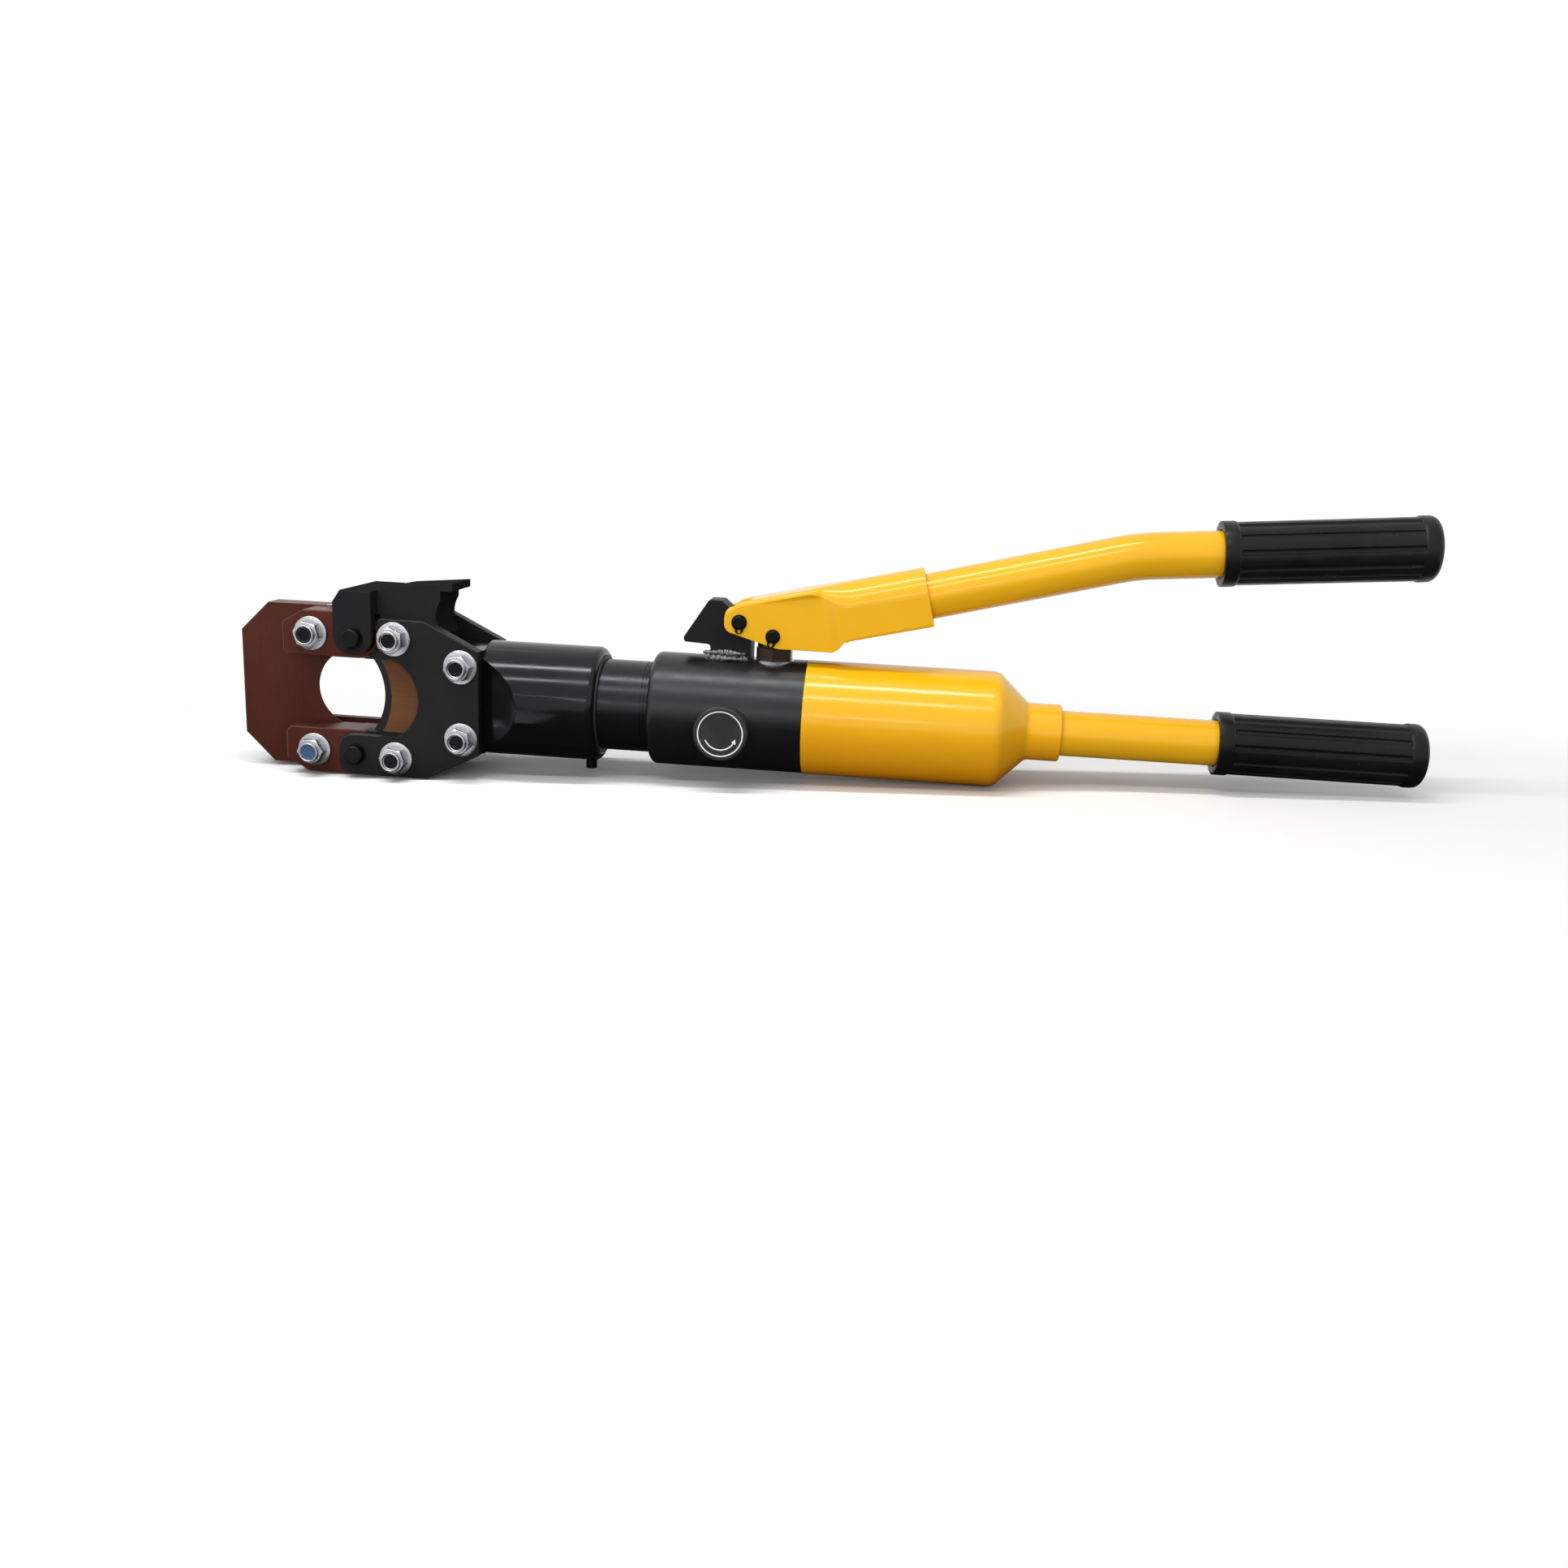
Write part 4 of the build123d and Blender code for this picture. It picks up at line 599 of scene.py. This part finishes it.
def makeGrip(name, s):
    grip = addRod(s["sides"], s["radius"], s["length"])
    grip.name = name
    # along X, with its open end on the origin
    moveTo(grip, Matrix.Rotation(math.pi / 2, 4, "Y"))
    setMode("EDIT")
    capX = s["length"] - s["cap"]
    for x in (s["ring"], s["ring"] + s["step"], capX - s["step"], capX):
        selectMesh()
        bpy.ops.mesh.bisect(plane_co=(x, 0, 0), plane_no=(1, 0, 0))
    # the fluted length stands a little below the ring and the cap
    pickVertices(grip, lambda co: s["ring"] + s["step"] / 2 < co.x < capX - s["step"] / 2)
    thin = 1 - s["ridgeDrop"] / s["radius"]
    bpy.ops.transform.resize(value=(1, thin, thin), center_override=(0, 0, 0))
    # every third side becomes a groove
    turn = 2 * math.pi / (s["sides"] / 3)

    def isGroove(middle, normal):
        angle = math.atan2(middle.z, middle.y) + turn / 6
        off = abs((angle + turn / 2) % turn - turn / 2)
        return s["ring"] + s["step"] < middle.x < capX - s["step"] and off < turn / 6 and abs(normal.x) < s["sideOn"]

    pickFaces(grip, isGroove)
    bpy.ops.mesh.inset(use_individual=True, thickness=s["grooveLip"], depth=-s["grooveDepth"])
    # round closed end
    pickFaces(grip, lambda middle, normal: normal.x > facing and middle.x > capX)
    bpy.ops.mesh.bevel(offset=s["endRound"], segments=6, affect="EDGES")
    # open end: chamfered rim and a mouth that the tube goes into
    pickFaces(grip, lambda middle, normal: normal.x < -facing and middle.x < s["step"])
    bpy.ops.mesh.inset(thickness=s["radius"] - s["mouth"])
    bpy.ops.mesh.inset(thickness=s["mouthChamfer"], depth=-s["mouthChamfer"])
    bpy.ops.mesh.extrude_region_move(TRANSFORM_OT_translate={"value": (s["mouthDepth"], 0, 0)})
    setMode("OBJECT")
    bevelEdges(grip, s["edge"], segments=2, degrees=24)
    return grip


def placeGrip(grip, start, slope, body, node):
    grip.matrix_world = Matrix.Translation(start) @ Matrix.Rotation(-math.radians(slope), 4, "Y")
    finishPiece(grip, body, "black_rubber", (node,), angle=40.0)


low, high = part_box("fixed_handle_grip")
placeGrip(makeGrip("lowerGrip", gripSet), Vector((low.x, 0, (low.z + high.z) / 2)), 0.0, "pump_unit",
          "fixed_handle_grip")
low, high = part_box("handle_grip")
lean = math.radians(gripSet["slope"])
upperStart = Vector((low.x + gripSet["radius"] * math.sin(lean), 0, low.z + gripSet["radius"] * math.cos(lean)))
placeGrip(makeGrip("upperGrip", gripSet), upperStart, gripSet["slope"], "pump_handle", "handle_grip")
print("grips modelled")


# flange lock nuts: round flange, chamfered hexagon, rolled collar over a nylon ring; places are x, z and turn
nutSet = {"flange": 0.0107, "rim": 0.0017, "cone": 0.0026, "coneRise": 0.0003, "hexagon": 0.00866, "hexTop": 0.0090,
          "chamfer": 0.0073, "chamferSlope": 1.5, "collar": 0.0063, "top": 0.0117, "mouth": 0.0050,
          "mouthDepth": 0.0016, "lip": 0.0006, "edge": 0.00022, "flangeEdge": 0.00044, "sides": 64, "coneSides": 96,
          "yokeSeat": -0.030, "yokePlaces": ((-0.140, 0.038, 4), (-0.140, -0.038, 21), (-0.0976, 0.023, 38),
                                             (-0.0976, -0.023, 12)),
          "jawSeat": -0.0217, "jawPlaces": ((-0.197, 0.0375, 17), (-0.197, -0.0375, 33))}
ringSet = {"outer": 0.0055, "inner": 0.0033, "depth": 0.0007, "low": 0.0101, "edge": 0.0002, "sides": 48}
discSet = {"outer": 0.0055, "depth": 0.0009, "low": 0.0105, "rim": 0.0009, "dish": 0.0005, "edge": 0.00015,
           "sides": 48}


def isTop(middle, normal):
    return normal.z > facing


def makeNut(s):
    nut = addRod(6, s["hexagon"], s["hexTop"])
    nut.name = "flangeNut"
    # a cone takes the corners off the hexagon
    freshStart()
    bpy.ops.mesh.primitive_cone_add(vertices=s["coneSides"], radius1=s["chamfer"] + s["hexTop"] * s["chamferSlope"],
                                    radius2=s["chamfer"], depth=s["hexTop"], location=(0, 0, s["hexTop"] / 2))
    combine(nut, bpy.context.object, "INTERSECT")
    bevelEdges(nut, s["edge"], segments=2, degrees=25)
    flange = addRod(s["sides"], s["flange"], s["rim"])
    setMode("EDIT")
    pickFaces(flange, isTop)
    bpy.ops.mesh.inset(thickness=s["cone"], depth=s["coneRise"])
    setMode("OBJECT")
    bevelEdges(flange, s["flangeEdge"], segments=3, degrees=40)
    # rolled collar with its open mouth
    collar = addRod(s["sides"], s["collar"], s["top"])
    setMode("EDIT")
    pickFaces(collar, isTop)
    bpy.ops.mesh.inset(thickness=s["collar"] - s["mouth"])
    bpy.ops.mesh.extrude_region_move(TRANSFORM_OT_translate={"value": (0, 0, -s["mouthDepth"])})
    setMode("OBJECT")
    bevelEdges(collar, s["lip"], segments=4, degrees=40)
    for part in (nut, flange, collar):
        part.select_set(True)
    bpy.context.view_layer.objects.active = nut
    bpy.ops.object.join()
    return nut


def makeNylonRing(s):
    ring = addRod(s["sides"], s["outer"], s["depth"], s["low"])
    setMode("EDIT")
    pickFaces(ring, lambda middle, normal: abs(normal.z) > facing)
    bpy.ops.mesh.inset(thickness=s["outer"] - s["inner"])
    bpy.ops.mesh.bridge_edge_loops()
    setMode("OBJECT")
    bevelEdges(ring, s["edge"], segments=2, degrees=40)
    return ring


def makeNylonDisc(s):
    disc = addRod(s["sides"], s["outer"], s["depth"], s["low"])
    setMode("EDIT")
    pickFaces(disc, isTop)
    bpy.ops.mesh.inset(thickness=s["rim"])
    bpy.ops.mesh.inset(thickness=s["rim"], depth=-s["dish"])
    setMode("OBJECT")
    bevelEdges(disc, s["edge"], segments=2, degrees=15)
    return disc


def placeCopies(model, places, seat, body, slotName, node, label):
    # each copy stands out towards the viewer
    for index, (x, z, turn) in enumerate(places):
        place = (Matrix.Translation((x, seat, z)) @ Matrix.Rotation(math.pi / 2, 4, "X")
                 @ Matrix.Rotation(math.radians(turn), 4, "Z"))
        finishPiece(addCopy(model, label + str(index + 1), place), body, slotName, (node,))


nutModel, ringModel, discModel = makeNut(nutSet), makeNylonRing(ringSet), makeNylonDisc(discSet)
jawPlaces, jawSeat = nutSet["jawPlaces"], nutSet["jawSeat"]
placeCopies(nutModel, nutSet["yokePlaces"], nutSet["yokeSeat"], "head", "zinc", "yoke_nuts", "yokeNut")
placeCopies(nutModel, jawPlaces, jawSeat, "jaw", "zinc", "jaw_nuts", "jawNut")
placeCopies(ringModel, jawPlaces[:1], jawSeat, "jaw", "insert_nylon", "jaw_nut_inserts", "jawRing")
placeCopies(discModel, jawPlaces[1:], jawSeat, "jaw", "insert_nylon", "jaw_nut_inserts", "jawDisc")
for model in (nutModel, ringModel, discModel):
    bpy.data.objects.remove(model)
print("nuts modelled")


# handle bracket: one pressed sheet, flat and stepped in over the pins, rounded over the tube at its end
bracketSet = {"noseColumns": 16, "columns": 150, "noseReach": 0.012, "noseX": 0.0640, "noseR": 0.0060,
              "noseTop": 0.06254, "noseLow": 0.05783,
              "topLine": ((0.0640, 0.0660), (0.0728, 0.0711), (0.18376, 0.09735)),
              "lowLine": ((0.0640, 0.0533), (0.0970, 0.0439), (0.1320, 0.0436), (0.1410, 0.0512), (0.19235, 0.06342)),
              "cornerReach": 0.0018, "endLean": 0.2532, "leanFrom": 0.150, "cheek": 0.0146, "box": 0.0171,
              "bumpTop": (0.1277, 0.0760), "bumpLow": (0.1326, 0.0505), "bumpWide": 0.0050,
              "ledgeX": (0.0760, 0.1260), "ledgeHigh": (0.0010, 0.0024), "ledgeLow": (0.0028, 0.0062),
              "fold": 0.0030, "foldShare": 0.45, "round": 0.0156, "roundX": (0.114, 0.142),
              "lowFold": 0.0016, "lowFoldShare": 0.2, "leastFold": 0.00004, "floorEase": 0.006, "heightRounds": 12,
              "halfRows": (7, 14, 44, 5, 6), "crowding": 1.25, "roofFrom": 0.0794, "roofTrim": 0.7, "roofDrop": 0.004,
              "floorFrom": 0.1400, "floorTop": 0.0600, "floorTilt": 0.12, "skin": 0.00005, "merge": 0.000002,
              "sheet": 0.0024, "edge": 0.0004}


def ramp(low, high, value):
    return min(1.0, max(0.0, (value - low) / (high - low)))


def smoothStep(low, high, value):
    t = ramp(low, high, value)
    return t * t * (3 - 2 * t)


def lineAt(points, x):
    # height of a broken line at x; the end stretches run on past the ends
    for (x0, z0), (x1, z1) in zip(points, points[1:]):
        if x <= x1 or (x1, z1) == points[-1]:
            return z0 + (z1 - z0) * (x - x0) / (x1 - x0)


def softLine(points, x, reach, steps=4):
    # corners eased by averaging over a short reach to either side
    heights = [lineAt(points, x + reach * i / steps) for i in range(-steps, steps + 1)]
    return sum(heights) / len(heights)


def noseRise(s, x):
    # half height of the round nose over its own middle, none behind it
    run = x - s["noseX"] - s["noseR"]
    return math.sqrt(max(0.0, s["noseR"] ** 2 - run ** 2)) if run < 0 else None


def bracketTop(s, x):
    line, rise = softLine(s["topLine"], x, s["cornerReach"]), noseRise(s, x)
    return line if rise is None else min(line, s["noseTop"] + rise)


def bracketLow(s, x):
    line, rise = softLine(s["lowLine"], x, s["cornerReach"]), noseRise(s, x)
    return line if rise is None else max(line, s["noseLow"] - rise)


def bracketHalf(s, x, z, depth):
    # half width of the pressed sheet, from the step over the pins out to the box round the tube
    (topX, topZ), (lowX, lowZ) = s["bumpTop"], s["bumpLow"]
    stepX = topX + (lowX - topX) * (topZ - z) / (topZ - lowZ)
    bump = smoothStep(stepX - s["bumpWide"], stepX + s["bumpWide"], x)
    taper = ramp(*s["ledgeX"], x)
    high, low = (a + (b - a) * taper for a, b in zip(s["ledgeHigh"], s["ledgeLow"]))
    ledge = taper * (1 - ramp(high, low, depth))
    return s["cheek"] + (s["box"] - s["cheek"]) * max(bump, ledge)


def bracketSection(s, roofX):
    # half a section from the middle of the roof, down a cheek, to the middle of the underside
    lean = s["endLean"] * smoothStep(s["leanFrom"], s["topLine"][-1][0], roofX)
    top = bracketTop(s, roofX)
    height = top - bracketLow(s, roofX)
    for _ in range(s["heightRounds"]):
        height = top - bracketLow(s, roofX + lean * height)
    grow = smoothStep(*s["roundX"], roofX)
    fold = min(s["fold"] + (s["round"] - s["fold"]) * grow, height * s["foldShare"])
    closing = smoothStep(s["floorFrom"] - s["floorEase"], s["floorFrom"], roofX)
    lowFold = max(s["leastFold"], min(s["lowFold"], height * s["lowFoldShare"]) * closing)
    rim = bracketHalf(s, roofX, top - fold, fold)
    foot = bracketHalf(s, roofX, top - height + lowFold, height - lowFold)
    roofRows, foldRows, cheekRows, lowRows, underRows = s["halfRows"]
    spots = [((rim - fold) * i / roofRows, 0.0) for i in range(roofRows)]
    for i in range(foldRows):
        a = math.pi / 2 * i / foldRows
        spots.append((rim - fold + fold * math.sin(a), fold - fold * math.cos(a)))
    for i in range(cheekRows):
        depth = fold + (height - lowFold - fold) * (i / cheekRows) ** s["crowding"]
        spots.append((bracketHalf(s, roofX, top - depth, depth), depth))
    for i in range(lowRows):
        a = math.pi / 2 * i / lowRows
        spots.append((foot - lowFold + lowFold * math.cos(a), height - lowFold + lowFold * math.sin(a)))
    spots += [((foot - lowFold) * (1 - i / underRows), height) for i in range(underRows + 1)]
    return [(roofX + lean * depth, half, top - depth) for half, depth in spots]


def makeBracket(s):
    endX, left = s["topLine"][-1][0], s["noseX"] + s["noseReach"]
    stations = [s["noseX"] + s["noseReach"] * (1 - math.cos(math.pi / 2 * i / s["noseColumns"]))
                for i in range(s["noseColumns"])]
    stations += [left + (endX - left) * i / s["columns"] for i in range(s["columns"] + 1)]
    half = sum(s["halfRows"])
    freshStart()
    bpy.ops.mesh.primitive_grid_add(x_subdivisions=len(stations) - 1, y_subdivisions=2 * half, size=1.0)
    bracket = bpy.context.object
    bracket.name = "handleBracket"
    # the flat grid is folded: its length becomes stations along the handle, its width goes once round the section
    sections = [bracketSection(s, x) for x in stations]
    for vertex in bracket.data.vertices:
        column = round((vertex.co.x + 0.5) * (len(stations) - 1))
        row = round((vertex.co.y + 0.5) * 2 * half)
        x, y, z = sections[column][abs(row - half)]
        vertex.co = (x, y if row >= half else -y, z)
    setMode("EDIT")
    selectMesh()
    bpy.ops.mesh.remove_doubles(threshold=s["merge"])

    # open over the pins and, before the tube, underneath
    def isOverPins(middle, normal):
        return (middle.x < s["roofFrom"] and abs(middle.y) < s["cheek"] - s["fold"] * s["roofTrim"]
                and middle.z > s["noseTop"] - s["roofDrop"])

    def isUnderneath(middle, normal):
        return (middle.x < s["floorFrom"] and abs(normal.z) > s["floorTilt"] and middle.z < s["floorTop"]
                and abs(middle.y) < s["box"] - s["skin"])

    for test in (isOverPins, isUnderneath):
        pickFaces(bracket, test)
        bpy.ops.mesh.delete(type="FACE")
    setMode("OBJECT")
    addModifier(bracket, "SOLIDIFY", thickness=s["sheet"], offset=-1.0)
    bevelEdges(bracket, s["edge"], segments=2, degrees=50)
    return bracket


finishPiece(makeBracket(bracketSet), "pump_handle", "amber_paint", ("handle_bracket",), angle=40.0)
print("bracket pressed")


# weld at the foot of the handle post: two uneven rows of beads a side and one across, run together
weldSet = {"bead": 0.0021, "frontY": 0.0104, "lowX": 0.0540, "highX": 0.0785, "step": 0.0014, "rowZ": (0.0352, 0.0380),
           "rowSeed": 40, "sideSeed": 20, "acrossSeed": 90, "across": 13, "waves": (12.9898, 78.233, 37.719),
           "spread": (0.0011, 0.00055, 0.0011), "swing": 0.3, "thick": 0.8, "tall": 0.9, "voxel": 0.00034,
           "grain": 0.0022, "grainDepth": 0.0005}


def makeWeld(s):
    freshStart()
    bpy.ops.mesh.primitive_ico_sphere_add(subdivisions=2, radius=s["bead"])
    model = bpy.context.object
    model.select_set(False)
    count = int((s["highX"] - s["lowX"]) / s["step"])
    spots = [(s["lowX"] + s["step"] * i, side * s["frontY"], z, i + s["rowSeed"] * k + s["sideSeed"] * (side > 0))
             for i in range(count) for k, z in enumerate(s["rowZ"]) for side in (-1, 1)]
    spots += [(s["lowX"], s["frontY"] * (2 * i / (s["across"] - 1) - 1), s["rowZ"][0], s["acrossSeed"] + i)
              for i in range(s["across"])]
    beads = []
    for x, y, z, seed in spots:
        wave = [math.sin(seed * k) for k in s["waves"]]
        shift = [far * part for far, part in zip(s["spread"], wave)]
        place = Matrix.Translation((x + shift[0], y + shift[1], z + shift[2]))
        shape = Matrix.Diagonal((1 + s["swing"] * wave[1], s["thick"], s["tall"] + s["swing"] * wave[0], 1))
        beads.append(addCopy(model, "bead", place @ shape))
        beads[-1].select_set(True)
    bpy.data.objects.remove(model)
    weld = beads[0]
    weld.name = "postWeld"
    bpy.context.view_layer.objects.active = weld
    bpy.ops.object.join()
    bpy.ops.object.transform_apply()
    addModifier(weld, "REMESH", mode="VOXEL", voxel_size=s["voxel"])
    cloud = bpy.data.textures.new("weldGrain", "CLOUDS")
    cloud.noise_scale = s["grain"]
    addModifier(weld, "DISPLACE", texture=cloud, strength=s["grainDepth"], mid_level=0.5, texture_coords="LOCAL")
    return weld


finishPiece(makeWeld(weldSet), "pump_unit", "weld_metal", ("post_weld",), angle=60.0)
print("weld laid")


# side plates: the arms' edges run straight on to the round of the opening; fills are left, right, bottom, top
plateSet = {"fills": ((-0.1670, -0.1400, -0.0290, -0.0245), (-0.1506, -0.1400, 0.0245, 0.0290))}


def copyNode(node, name, merge=0.000001):
    # the node's mesh, merged, with plain normals
    freshStart()
    piece = addCopy(nodes[node], name, nodes[node].matrix_world)
    piece.select_set(True)
    bpy.context.view_layer.objects.active = piece
    setMode("EDIT")
    selectMesh()
    bpy.ops.mesh.remove_doubles(threshold=merge)
    setMode("OBJECT")
    bpy.ops.mesh.customdata_custom_splitnormals_clear()
    return piece


def makePlate(s, node, name):
    plate = copyNode(node, name)
    low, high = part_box(node)
    for left, right, bottom, top in s["fills"]:
        combine(plate, addBox((left, low.y, bottom), (right, high.y, top)), "UNION")
    return plate


for node, name in (("front_side_plate", "frontPlate"), ("rear_side_plate", "rearPlate")):
    finishPiece(makePlate(plateSet, node, name), "head", "satin_black", (node,))
print("plates filled")


# head collar: a ramp flat runs up from each plate's seat to the round
collarSet = {"front": -0.0875, "end": -0.0600, "seat": 0.0222, "round": 0.0364, "clear": 0.0500, "half": 0.0400,
             "near": 0.0001}


def makeCollar(s):
    collar = copyNode("head_collar", "headCollar")
    for side in (-1, 1):
        lowY, highY = sorted((side * s["round"], side * s["clear"]))
        wedge = addBox((s["front"], lowY, -s["half"]), (s["end"], highY, s["half"]))
        setMode("EDIT")
        # the inner edge at the front sinks down to the seat
        pickVertices(wedge, lambda co: abs(co.x - s["front"]) < s["near"] and abs(co.y) < s["round"] + s["near"])
        bpy.ops.transform.translate(value=(0, -side * (s["round"] - s["seat"]), 0))
        setMode("OBJECT")
        combine(collar, wedge, "DIFFERENCE")
    return collar


finishPiece(makeCollar(collarSet), "head", "gloss_black", ("head_collar",),
            finish=ownFinishes["head_collar"])
print("collar ramps cut")


# lips of the guide blocks that reach in close round the jaw's front lugs
lipSet = {"x": -0.1670, "z": 0.0370, "inner": 0.0141, "outer": 0.0168, "front": -0.0219, "rear": -0.0002,
          "level": 0.0232, "edge": 0.0003, "sides": 96}


def makeLip(s, side, name):
    lip = addRod(s["sides"], s["outer"], s["rear"] - s["front"])
    lip.name = name
    moveTo(lip, Matrix.Translation((s["x"], s["rear"], side * s["z"])) @ Matrix.Rotation(math.pi / 2, 4, "X"))
    setMode("EDIT")
    pickFaces(lip, lambda middle, normal: abs(normal.y) > facing)
    bpy.ops.mesh.inset(thickness=s["outer"] - s["inner"])
    bpy.ops.mesh.bridge_edge_loops()
    # only the quarter towards the ram and the tool's middle stays, from the level of the guide's face
    for place, direction in (((s["x"], 0, 0), (-1, 0, 0)), ((0, 0, side * s["level"]), (0, 0, -side)),
                             ((0, 0, side * s["z"]), (0, 0, side))):
        selectMesh()
        bpy.ops.mesh.bisect(plane_co=place, plane_no=direction, clear_outer=True, use_fill=True)
    selectMesh()
    bpy.ops.mesh.normals_make_consistent(inside=False)
    setMode("OBJECT")
    bevelEdges(lip, s["edge"], segments=2, degrees=40)
    return lip


for side, name in ((1, "upperGuideLip"), (-1, "lowerGuideLip")):
    finishPiece(makeLip(lipSet, side, name), "head", "satin_black")
print("guide lips modelled")


# coil springs in the barrel and the pump, each copied with its own mesh; on the tool each shortens towards its seat as
# the piston or ball comes, which is not set up here
springSet = {"returnCoil": ("return_spring", "blade_slide", (1, 0, 0), 0.0532),
             "deliveryCoil": ("delivery_spring", "delivery_lift", (1, 0, 0), 0.0015),
             "reliefCoil": ("relief_spring", "relief_lift", (0, 0, 1), 0.0010)}
for name, (node, joint, axis, travel) in springSet.items():
    coil = copyNode(node, name)
    low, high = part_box(node)
    finishPiece(coil, "pump_unit", "spring_steel", (node,), angle=40.0)
    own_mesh(coil)
print("springs modelled:", len(springSet))


# studio: tilted pale floor that the jaw and the reservoir rest on, white surround, soft lights
floorSet = {"shown": (1.0, 1.0, 1.0), "bounce": (0.25, 0.25, 0.25), "oval": (0.42, 1.0, 1.0), "solidRadius": 0.10,
            "fadeRadius": 0.36, "size": 1.2, "sides": 128, "restBack": 0.04, "gap": 0.0003}


def directRays(tree):
    # 1 for what is seen directly, in a mirror image or through a clear piece
    path = addNode(tree, "ShaderNodeLightPath").outputs
    seen = mathNode(tree, "MAXIMUM", path["Is Camera Ray"], path["Is Glossy Ray"])
    return mathNode(tree, "MAXIMUM", seen, path["Is Transmission Ray"])


def mixOut(tree, output, factor, first, second):
    mix = addNode(tree, "ShaderNodeMixShader")
    for socket, value in zip(mix.inputs, (factor, first.outputs[0], second.outputs[0])):
        tree.links.new(value, socket)
    tree.links.new(mix.outputs[0], addNode(tree, output).inputs[0])


def buildFloor(s):
    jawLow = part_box("fixed_blade")[0]
    tankLow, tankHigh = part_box("reservoir_housing")
    pinX = sum(corner.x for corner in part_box("hinge_pin")) / 2
    restX = tankHigh.x - s["restBack"]
    lean = math.atan2(tankLow.z - jawLow.z, restX - pinX)
    freshStart()
    bpy.ops.mesh.primitive_circle_add(vertices=s["sides"], radius=s["size"], fill_type="NGON")
    floor = bpy.context.object
    floor.name = "studioFloor"
    middle = Vector(((pinX + restX) / 2, 0, (jawLow.z + tankLow.z) / 2 - s["gap"]))
    floor.matrix_world = Matrix.Translation(middle) @ Matrix.Rotation(-lean, 4, "Y")
    material, tree = blankMaterial("paleFloor")
    matt = addNode(tree, "ShaderNodeBsdfDiffuse")
    tree.links.new(mixColours(tree, directRays(tree), shade(s["bounce"]), shade(s["shown"])), matt.inputs["Color"])
    far = vectorNode(tree, "LENGTH", vectorNode(tree, "MULTIPLY", objectCoords(tree), s["oval"]))
    fade = remap(tree, far, s["solidRadius"], s["fadeRadius"])
    mixOut(tree, "ShaderNodeOutputMaterial", fade, matt, addNode(tree, "ShaderNodeBsdfTransparent"))
    floor.data.materials.append(material)
    return floor.matrix_world.copy()


surroundSet = {"shown": (1.0, 1.0, 1.0), "fill": 0.25}


def buildSurround(s):
    scene.world = bpy.data.worlds.new("studioSurround")
    scene.world.use_nodes = True
    tree = scene.world.node_tree
    tree.nodes.clear()
    fill, shown = addNode(tree, "ShaderNodeBackground"), addNode(tree, "ShaderNodeBackground")
    for light, strength in ((fill, s["fill"]), (shown, 1.0)):
        light.inputs["Color"].default_value = shade(s["shown"])
        light.inputs["Strength"].default_value = strength
    mixOut(tree, "ShaderNodeOutputWorld", directRays(tree), fill, shown)


# lamps stand round the tool axis: elevation in degrees from the viewer's side, over the top to the back
boxLamp = {"distance": 1.50, "length": 2.0, "width": 1.0, "middle": 0.13, "mirrored": False}
stripLamp = {"distance": 1.20, "length": 1.3, "width": 0.060, "middle": -0.36, "mirrored": True}
lampSet = {
    "keyBox": dict(boxLamp, elevation=10, watts=11.9),
    "topBox": dict(boxLamp, elevation=70, watts=6.0),
    "highStrip": dict(stripLamp, elevation=78, watts=8.4),
    "midStrip": dict(stripLamp, elevation=50, watts=3.8),
    "lowStrip": dict(stripLamp, elevation=14.5, watts=1.4, distance=1.45, length=1.2, width=0.050, middle=-0.37),
}


def placeLamps(lamps):
    for name, s in lamps.items():
        data = bpy.data.lights.new(name, "AREA")
        data.shape = "RECTANGLE"
        data.size, data.size_y = s["length"], s["width"]
        data.energy = s["watts"]
        lamp = bpy.data.objects.new(name, data)
        scene.collection.objects.link(lamp)
        rise = math.radians(s["elevation"])
        place = Vector((s["middle"], -math.cos(rise) * s["distance"], math.sin(rise) * s["distance"]))
        lamp.matrix_world = Matrix.Translation(place) @ Matrix.Rotation(math.pi / 2 - rise, 4, "X")
        lamp.visible_glossy = s["mirrored"]


# strips of dark cloth on the floor, seen in the mirrored view only: left, right, near, far
clothSet = {"strips": ((-0.26, -0.10, -0.065, 0.05), (-0.80, -0.24, -0.32, -0.04), (-0.19, -0.10, -0.45, -0.19),
                       (-0.10, 0.75, -1.60, 0.05)),
            "lift": 0.0002, "colour": (0.03, 0.03, 0.03), "rough": 0.9}


def layCloth(s, floorPlace):
    material, _, shader = newMaterial("darkCloth", s["rough"])
    shader.inputs["Base Color"].default_value = shade(s["colour"])
    for index, (left, right, near, far) in enumerate(s["strips"]):
        freshStart()
        bpy.ops.mesh.primitive_plane_add(size=1.0)
        cloth = bpy.context.object
        cloth.name = "darkCloth" + str(index + 1)
        middle = floorPlace.inverted() @ Vector(((left + right) / 2, (near + far) / 2, 0))
        middle.z = s["lift"]
        cloth.matrix_world = floorPlace @ Matrix.Translation(middle) @ Matrix.Diagonal((right - left, far - near, 1, 1))
        cloth.visible_camera = cloth.visible_diffuse = cloth.visible_shadow = False
        cloth.data.materials.append(material)


floorPlace = buildFloor(floorSet)
buildSurround(surroundSet)
placeLamps(lampSet)
layCloth(clothSet, floorPlace)
print("studio built")
